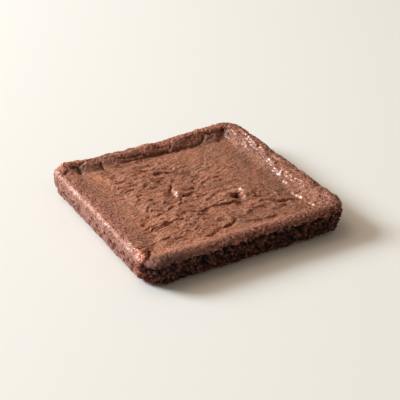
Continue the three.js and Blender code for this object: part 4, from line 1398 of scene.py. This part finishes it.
def baked_brownie_crust(add, place):
    """Baked brownie: a paper-thin sugar crust, wrinkled and satin, over a dark moist crumb. The
    crust is dull brown with lighter, orange lips and dark red creases, the rim is drier and
    pinker, and the crumb is near black with reddish torn places."""
    colours = bpy.context.scene.brownie_colours
    names = "tip crease crack rim tone crumb hole pit pale gloss glaze browned open dull red"
    marks = {name: add("Attribute", output="Fac", attribute_name=name) for name in names.split()}
    turn = {"Vector": place, "Rotation": (0, 0, WRINKLE_HEADING), "Scale": (WRINKLE_STRETCH, 1, 1)}
    drawn_out = add("Mapping", turn, vector_type="TEXTURE")
    patterns = {}
    for name, size, detail, distortion in PATTERNS:
        where = drawn_out if name == "fold" else place
        settings = {"Scale": 1 / (size * MM), "Detail": detail, "Distortion": distortion}
        pattern = add("TexNoise", {"Vector": where, "Roughness": 0.6, **settings})
        patterns[name] = add("MapRange", (pattern, *SPREAD))

    # Fine creases: narrow lines where a noise passes its middle, only where the mottling is high.
    # They are pressed in by the bump and also painted darker, partly as painted shade
    lines = {}
    for name, width in LINE_WIDTHS:
        off_middle = add("Math", (patterns[name], 0.5), operation="SUBTRACT")
        distance = add("Math", (off_middle,), operation="ABSOLUTE")
        line = add("MapRange", (distance, 0, width, 1, 0), interpolation_type="SMOOTHSTEP")
        lines[name] = add("Math", (line, patterns["mottle"]), operation="MULTIPLY")

    # Pits: round some of many scattered points, on places bent by the fine noise
    size, reach = PIT_BEND
    bent = add("TexNoise", {"Vector": place, "Scale": 1 / (size * MM), "Detail": 1}, "Color")
    moved = add("VectorMath", (bent, (reach * MM,) * 3, place), operation="MULTIPLY_ADD")
    points = add("TexVoronoi", {"Vector": moved, "Scale": 1 / (PIT_SPACING * MM)})
    lot = add("SeparateColor", (points.node.outputs["Color"],))
    drawn = add("Math", (lot, marks["open"]), operation="LESS_THAN")
    bowl = add("MapRange", (points, *PIT_EDGE, 1, 0), interpolation_type="SMOOTHSTEP")
    pit = add("Math", (bowl, drawn, marks["pit"]), operation="MULTIPLY_ADD", use_clamp=True)
    fleck = add("Math", (lot, FLECK_LOT), operation="GREATER_THAN")
    blotch = add("MapRange", (patterns["blotch"], 0.4, 1, 0, 0.6))
    specks = add("MapRange", (patterns["speckle"], 0, 0.45, 0.6, 0))

    colour = (*colours.crust, 1)
    for share, scale, next_colour in (
        # share of the next colour, what scales it, and the colour
        (patterns["patches"], 0.6, colours.dull),
        (marks["dull"], 0.9, colours.dull),
        (marks["rim"], 0.9, colours.rim),
        # painted shade where the rim turns from the light
        (marks["browned"], 0.9, colours.browned),
        (marks["pale"], 0.6, colours.skin),
        (marks["rim"], blotch, colours.browned),
        (patterns["mottle"], 0.34, colours.ridge),
        (specks, 1.2, colours.crease),
        (specks, marks["dull"], colours.browned),
        # lighter lips: partly painted highlight on their lit side
        (marks["tip"], 0.9, colours.ridge),
        (lines["fold"], 0.5, colours.crease),
        (lines["creases"], 0.3, colours.crease),
        # darker hollows and feet, partly painted shade, and redder darker-baked crust
        (marks["crease"], 0.9, colours.crease),
        (fleck, bowl, colours.fleck),
        # painted highlight along the left shoulder's line of shine
        (marks["glaze"], 0.48, colours.glaze),
        (marks["crumb"], 1.0, colours.crumb),
        (pit, 0.96, colours.pit),
        # painted shade in deep cracks and before the facets
        (marks["crack"], 0.9, colours.crack),
    ):
        scaled = add("Math", (share, scale), operation="MULTIPLY")
        blend = {0: scaled, 6: colour, 7: (*next_colour, 1)}
        colour = add("Mix", blend, 2, data_type="RGBA")

    # Torn crumb is reddish in places, most of all at the front left corner
    torn = add("Math", (marks["crumb"], patterns["creases"]), operation="MULTIPLY")
    how_red = add("MapRange", (marks["red"], 0, 1, 0.6, 4))
    red = add("Math", (torn, how_red), operation="MULTIPLY", use_clamp=True)
    colour = add("Mix", {0: red, 6: colour, 7: (*colours.crumb_red, 1)}, 2, data_type="RGBA")

    # Speckled, lighter or darker by the tone, which is the baking and in a few patches painted
    # highlight, and dark in the holes and pits as painted shade
    shade = add("MapRange", (patterns["speckle"], 0, 1, 0.86, 1.28))
    for factor in (marks["tone"], add("MapRange", (marks["hole"], 0, 1, 1, 0.02))):
        shade = add("Math", (shade, factor), operation="MULTIPLY")
    shaded = {0: 1, 6: colour, 7: shade}
    colour = add("Mix", shaded, 2, data_type="RGBA", blend_type="MULTIPLY")

    # Satin crust, matt where it is torn, cracked or pitted, and shiny on the left shoulder's line
    # and on the facets
    rough = add("MapRange", (patterns["mottle"], 0, 1, 0.40, 0.58))
    bare = add("Math", (marks["crumb"], marks["crack"]), operation="MAXIMUM")
    bare = add("Math", (bare, marks["pit"]), operation="MAXIMUM")
    rough = add("Math", (bare, 0.4, rough), operation="MULTIPLY_ADD", use_clamp=True)
    rough = add("Math", (marks["gloss"], -0.3, rough), operation="MULTIPLY_ADD")

    # The finest relief, with its rises in millimetres, weaker on the left wall, on the left
    # shoulder's line and on the facets
    height = 0.0
    for pattern, rise in (
        (lines["fold"], -0.6), (lines["creases"], -0.4), (patterns["speckle"], 0.3),
        (patterns["fold"], 0.7), (pit, -0.9),
    ):
        height = add("Math", (pattern, rise, height), operation="MULTIPLY_ADD")
    even = (marks["pale"], 0.55, marks["gloss"])
    even = add("Math", even, operation="MULTIPLY_ADD", use_clamp=True)
    strength = add("MapRange", (even, 0, 1, 1, 0.15))
    bump = add("Bump", {"Strength": strength, "Distance": 1 * MM, "Height": height})
    return {"Base Color": colour, "Roughness": rough, "Normal": bump}


def matt_laminate(add, place):
    """A plain matt laminate, pressed smooth: an even pale surface with no visible pattern."""
    return {"Base Color": (*bpy.context.scene.brownie_colours.surface, 1), "Roughness": 0.9}


def by_lot(add, dark, light):
    """A colour between two, by each grain's own lot."""
    lot = add("Attribute", output="Fac", attribute_name="lot")
    return add("Mix", {0: lot, 6: (*dark, 1), 7: (*light, 1)}, 2, data_type="RGBA")


def moist_brownie_crumb(add, place):
    """Crumbs of moist baked brownie: soft and torn, so matt, from near black to reddish brown."""
    colours = bpy.context.scene.brownie_colours
    return {"Base Color": by_lot(add, colours.crumb, colours.crumb_red), "Roughness": 0.7}


def dry_sugar_crust(add, place):
    """Flakes of the paper-thin sugar crust: dry and glazed, so satin, in the crust's browns."""
    colours = bpy.context.scene.brownie_colours
    return {"Base Color": by_lot(add, colours.dull, colours.fleck), "Roughness": 0.38}


class BROWNIE_OT_slab(Operator):
    """Make the brownie's body"""

    bl_idname = "brownie.slab"
    bl_label = "Brownie body"

    def execute(self, context):
        slab = mesh_object("brownie_body", *slab_mesh(slab_size()), baked_brownie_crust)
        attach(slab, "root")
        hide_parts("brownie")
        return {"FINISHED"}


GRAIN_ROUND, GRAIN_ROWS = 7, 4  # points round a grain, and rows of them between its poles
GRAIN_BUMPS = (1.3, 0.35, 501)  # size of a grain's dents, for a radius of 1, depth and seed
GRAIN_SPREAD = 90  # how far apart the grains' places in the noise of the dents are drawn


def unit_grain():
    """A unit sphere: rows of points round an axis between two poles, with its faces."""
    down, round_axis = np.meshgrid(
        np.pi * np.arange(1, GRAIN_ROWS + 1) / (GRAIN_ROWS + 1),
        2 * np.pi * np.arange(GRAIN_ROUND) / GRAIN_ROUND, indexing="ij",
    )
    out = np.sin(down)
    rows = np.stack([out * np.cos(round_axis), out * np.sin(round_axis), np.cos(down)], -1)
    points = np.concatenate([rows.reshape(-1, 3), [[0, 0, 1], [0, 0, -1]]])
    index = np.arange(GRAIN_ROWS * GRAIN_ROUND).reshape(GRAIN_ROWS, GRAIN_ROUND)
    faces = [band_faces(upper, lower) for upper, lower in zip(index, index[1:])]
    top, bottom = index[0], index[-1]
    north, south = np.full((2, GRAIN_ROUND), [[index.size], [index.size + 1]])
    faces.append(np.stack([north, top, np.roll(top, -1)], -1))
    faces.append(np.stack([south, np.roll(bottom, -1), bottom], -1))
    return points, np.concatenate(faces)


def strewn(places, normals, sizes, lean, curl, draw):
    """Small closed grains on a surface. Each is a unit sphere dented by a noise, stretched to its
    own three sizes and bent by a parabola of that curl. It lies flat on the surface, turned about
    the normal by a drawn angle and tipped by a drawn lean. Gives points, faces and a fixed draw
    from 0 to 1 for each grain."""
    unit, faces = unit_grain()
    count = len(places)
    size, depth, seed = GRAIN_BUMPS
    spots = unit[None] * size + draw.uniform(0, GRAIN_SPREAD, (count, 1, 3))
    local = unit[None] * (1 + depth * noise(*np.moveaxis(spots, -1, 0), seed))[..., None]
    local = local * sizes[:, None]
    local[..., 2] += curl * local[..., 0] ** 2
    along = np.cross(normals, draw.normal(size=(count, 3)))
    along /= np.linalg.norm(along, axis=1, keepdims=True)
    across = np.cross(normals, along)
    tip = draw.uniform(*lean, (count, 1))
    up = normals * np.cos(tip) + along * np.sin(tip)
    along = along * np.cos(tip) - normals * np.sin(tip)
    points = places[:, None] + local @ np.stack([along, across, up], 1)
    all_faces = faces[None] + np.arange(count)[:, None, None] * len(unit)
    lots = np.repeat(draw.uniform(0, 1, count), len(unit))
    return points.reshape(-1, 3), all_faces.reshape(-1, 3), {"lot": lots}


def body_skin():
    """The points of the brownie's body in millimetres, their normals and marks."""
    body = bpy.data.objects.get("brownie_body")
    if body is None:
        raise RuntimeError("Make the brownie's body first")
    mesh = body.data
    count = len(mesh.vertices)
    places, normals = np.empty((2, 3 * count), np.float32)
    mesh.vertices.foreach_get("co", places)
    mesh.vertex_normals.foreach_get("vector", normals)
    marks = {}
    for name in ("crumb", "hole", "tip", "rim"):
        marks[name] = np.empty(count, np.float32)
        mesh.attributes[name].data.foreach_get("value", marks[name])
    return places.reshape(-1, 3) / MM, normals.reshape(-1, 3), marks


LEAST_HEIGHT = 2.5  # of crumbs and flakes above the ground
CRUMB_COUNT = 1300
CRUMB_RADIUS = (0.35, 1.15)
CRUMB_SHAPE = (0.75, 1.25)  # of a crumb's own three sizes, as shares of its radius
CRUMB_SINK = 0.25  # how deep a crumb sits in the surface, as a share of its radius
CRUMB_LEAN = (0, 0.5)  # in radians
HOLE_SHARE = 0.8  # how much rarer crumbs are in a hole


class BROWNIE_OT_crumbs(Operator):
    """Make the crumbs that stick out of the torn walls"""

    bl_idname = "brownie.crumbs"
    bl_label = "Crumbs"

    def execute(self, context):
        places, normals, marks = body_skin()
        draw = np.random.default_rng(11)
        weight = marks["crumb"] * (1 - HOLE_SHARE * marks["hole"]) * (places[:, 2] > LEAST_HEIGHT)
        chosen = draw.choice(len(places), CRUMB_COUNT, replace=False, p=weight / weight.sum())
        radius = mix(*CRUMB_RADIUS, draw.uniform(0, 1, (CRUMB_COUNT, 1)) ** 2)
        sizes = radius * draw.uniform(*CRUMB_SHAPE, (CRUMB_COUNT, 3))
        middle = places[chosen] - CRUMB_SINK * radius * normals[chosen]
        grains = strewn(middle, normals[chosen], sizes, CRUMB_LEAN, 0, draw)
        crumbs = mesh_object("crumbs", *grains, moist_brownie_crumb)
        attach(crumbs, "root")
        return {"FINISHED"}


FLAKE_COUNT = 240
FLAKE_LENGTH = (0.7, 1.7)
FLAKE_WIDTH = 0.6  # as a share of the length
FLAKE_THICKNESS = 0.15
FLAKE_LEAN = (0.05, 0.35)  # in radians
FLAKE_CURL = 0.12
FLAKY_RIM = (82, 8)  # along X, the middle of the flaky strip of the right rim, and its width
FLAKY_TIP = 0.12  # how often flakes lift from torn edges, against that strip
FLAKY_SLOPE = 0.2  # the normal's least part upwards


class BROWNIE_OT_flakes(Operator):
    """Make the papery flakes that lift from the rim and from torn edges"""

    bl_idname = "brownie.flakes"
    bl_label = "Flakes"

    def execute(self, context):
        places, normals, marks = body_skin()
        draw = np.random.default_rng(13)
        x, _, z = places.T
        weight = bell(x, *FLAKY_RIM) * marks["rim"] * (normals[:, 2] > FLAKY_SLOPE)
        weight = (weight + FLAKY_TIP * marks["tip"]) * (z > LEAST_HEIGHT) * (1 - marks["crumb"])
        chosen = draw.choice(len(places), FLAKE_COUNT, replace=False, p=weight / weight.sum())
        length = mix(*FLAKE_LENGTH, draw.uniform(0, 1, FLAKE_COUNT) ** 2)
        thin = np.full(FLAKE_COUNT, FLAKE_THICKNESS)
        sizes = np.stack([length, length * FLAKE_WIDTH, thin], -1)
        grains = strewn(places[chosen], normals[chosen], sizes, FLAKE_LEAN, FLAKE_CURL, draw)
        flakes = mesh_object("flakes", *grains, dry_sugar_crust)
        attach(flakes, "root")
        return {"FINISHED"}


# The camera, as fitted to the outline of the brownie, in millimetres and degrees
FOCAL_PIXELS = 1074.69
FRAME_PIXELS = 400
CAMERA_ELEVATION = 30.0
CAMERA_YAW = 29.74
CAMERA_AIM = (-4.70, -9.35, 961.15)
SENSOR_WIDTH = 36.0

LIGHTS = (
    # name, direction from the brownie, distance and width in metres, watts, linear colour
    ("key_light", (-0.654, 0.571, 0.497), 4.5, 1.65, 272, (0.83, 0.94, 1.0)),
    ("fill_light", (-0.4, 0.4, 0.85), 2.4, 2.2, 22, (1.0, 0.83, 0.64)),
)
ROOM_LIGHT = ((1.0, 0.82, 0.65, 1), 0.32)  # linear colour and strength
SURFACE_REACH = 6000.0  # from the brownie to the surface's edges


def camera_axes():
    """The camera's right, up and backward directions: a turn by the yaw about Z, then a tilt by
    the elevation."""
    yaw, tilt = np.radians(CAMERA_YAW), np.radians(CAMERA_ELEVATION)
    right = np.array([np.cos(yaw), -np.sin(yaw), 0])
    up = np.array([np.sin(tilt) * np.sin(yaw), np.sin(tilt) * np.cos(yaw), np.cos(tilt)])
    back = np.array([-np.cos(tilt) * np.sin(yaw), -np.cos(tilt) * np.cos(yaw), np.sin(tilt)])
    return right, up, back


def placed(name, data, spot, turn):
    """An object of the stage at a spot in metres, turned by a matrix."""
    item = bpy.data.objects.new(name, data)
    item.matrix_world = Matrix.Translation(Vector(spot)) @ turn.to_4x4()
    bpy.context.scene.collection.objects.link(item)
    return item


def area_light(name, direction, distance, width, watts, colour):
    """A square soft light at a distance in a direction from the brownie, aimed at it."""
    data = bpy.data.lights.new(name, "AREA")
    data.shape, data.size, data.energy, data.color = "SQUARE", width, watts, colour
    toward = Vector(direction).normalized()
    placed(name, data, toward * distance, toward.to_track_quat("Z", "Y").to_matrix())


class BROWNIE_OT_stage(Operator):
    """Make the surface, the camera and the studio light"""

    bl_idname = "brownie.stage"
    bl_label = "Stage"

    def execute(self, context):
        scene = context.scene
        corners = np.array([[-1, -1, 0], [1, -1, 0], [1, 1, 0], [-1, 1, 0]]) * SURFACE_REACH
        faces = np.array([[0, 1, 2], [0, 2, 3]])
        surface = mesh_object("surface", corners, faces, {}, matt_laminate, False)

        right, up, back = camera_axes()
        shift_right, shift_up, distance = CAMERA_AIM
        spot = (-shift_right * right - shift_up * up + distance * back) * MM
        data = bpy.data.cameras.new("camera")
        data.sensor_width = SENSOR_WIDTH
        data.lens = SENSOR_WIDTH * FOCAL_PIXELS / FRAME_PIXELS
        scene.camera = placed("camera", data, spot, Matrix(np.stack([right, up, back], 1).tolist()))
        for light in LIGHTS:
            area_light(*light)

        scene.world = bpy.data.worlds.new("studio")
        scene.world.use_nodes = True
        background = scene.world.node_tree.nodes["Background"]
        for name, value in zip(("Color", "Strength"), ROOM_LIGHT):
            background.inputs[name].default_value = value
        scene.view_settings.view_transform = "Standard"
        return {"FINISHED"}


class BROWNIE_PT_panel(Panel):
    """Lists the brownie's pieces and settings"""

    bl_label = "Brownie"
    bl_idname = "BROWNIE_PT_panel"
    bl_space_type = "VIEW_3D"
    bl_region_type = "UI"
    bl_category = "Brownie"

    def draw(self, context):
        layout = self.layout
        for group in (context.scene.brownie_sizes, context.scene.brownie_colours):
            box = layout.box()
            for name in group.__annotations__:
                box.prop(group, name)
        for piece in PIECES:
            layout.operator(piece.bl_idname)


PIECES = (BROWNIE_OT_stage, BROWNIE_OT_slab, BROWNIE_OT_crumbs, BROWNIE_OT_flakes)
CLASSES = (BrownieSizes, BrownieColours, *PIECES, BROWNIE_PT_panel)


def register():
    for item in CLASSES:
        bpy.utils.register_class(item)
    bpy.types.Scene.brownie_sizes = PointerProperty(type=BrownieSizes)
    bpy.types.Scene.brownie_colours = PointerProperty(type=BrownieColours)


def unregister():
    del bpy.types.Scene.brownie_colours
    del bpy.types.Scene.brownie_sizes
    for item in reversed(CLASSES):
        bpy.utils.unregister_class(item)


def main():
    register()
    bpy.ops.brownie.stage()
    bpy.ops.brownie.slab()
    bpy.ops.brownie.crumbs()
    bpy.ops.brownie.flakes()


if __name__ == "__main__":
    main()
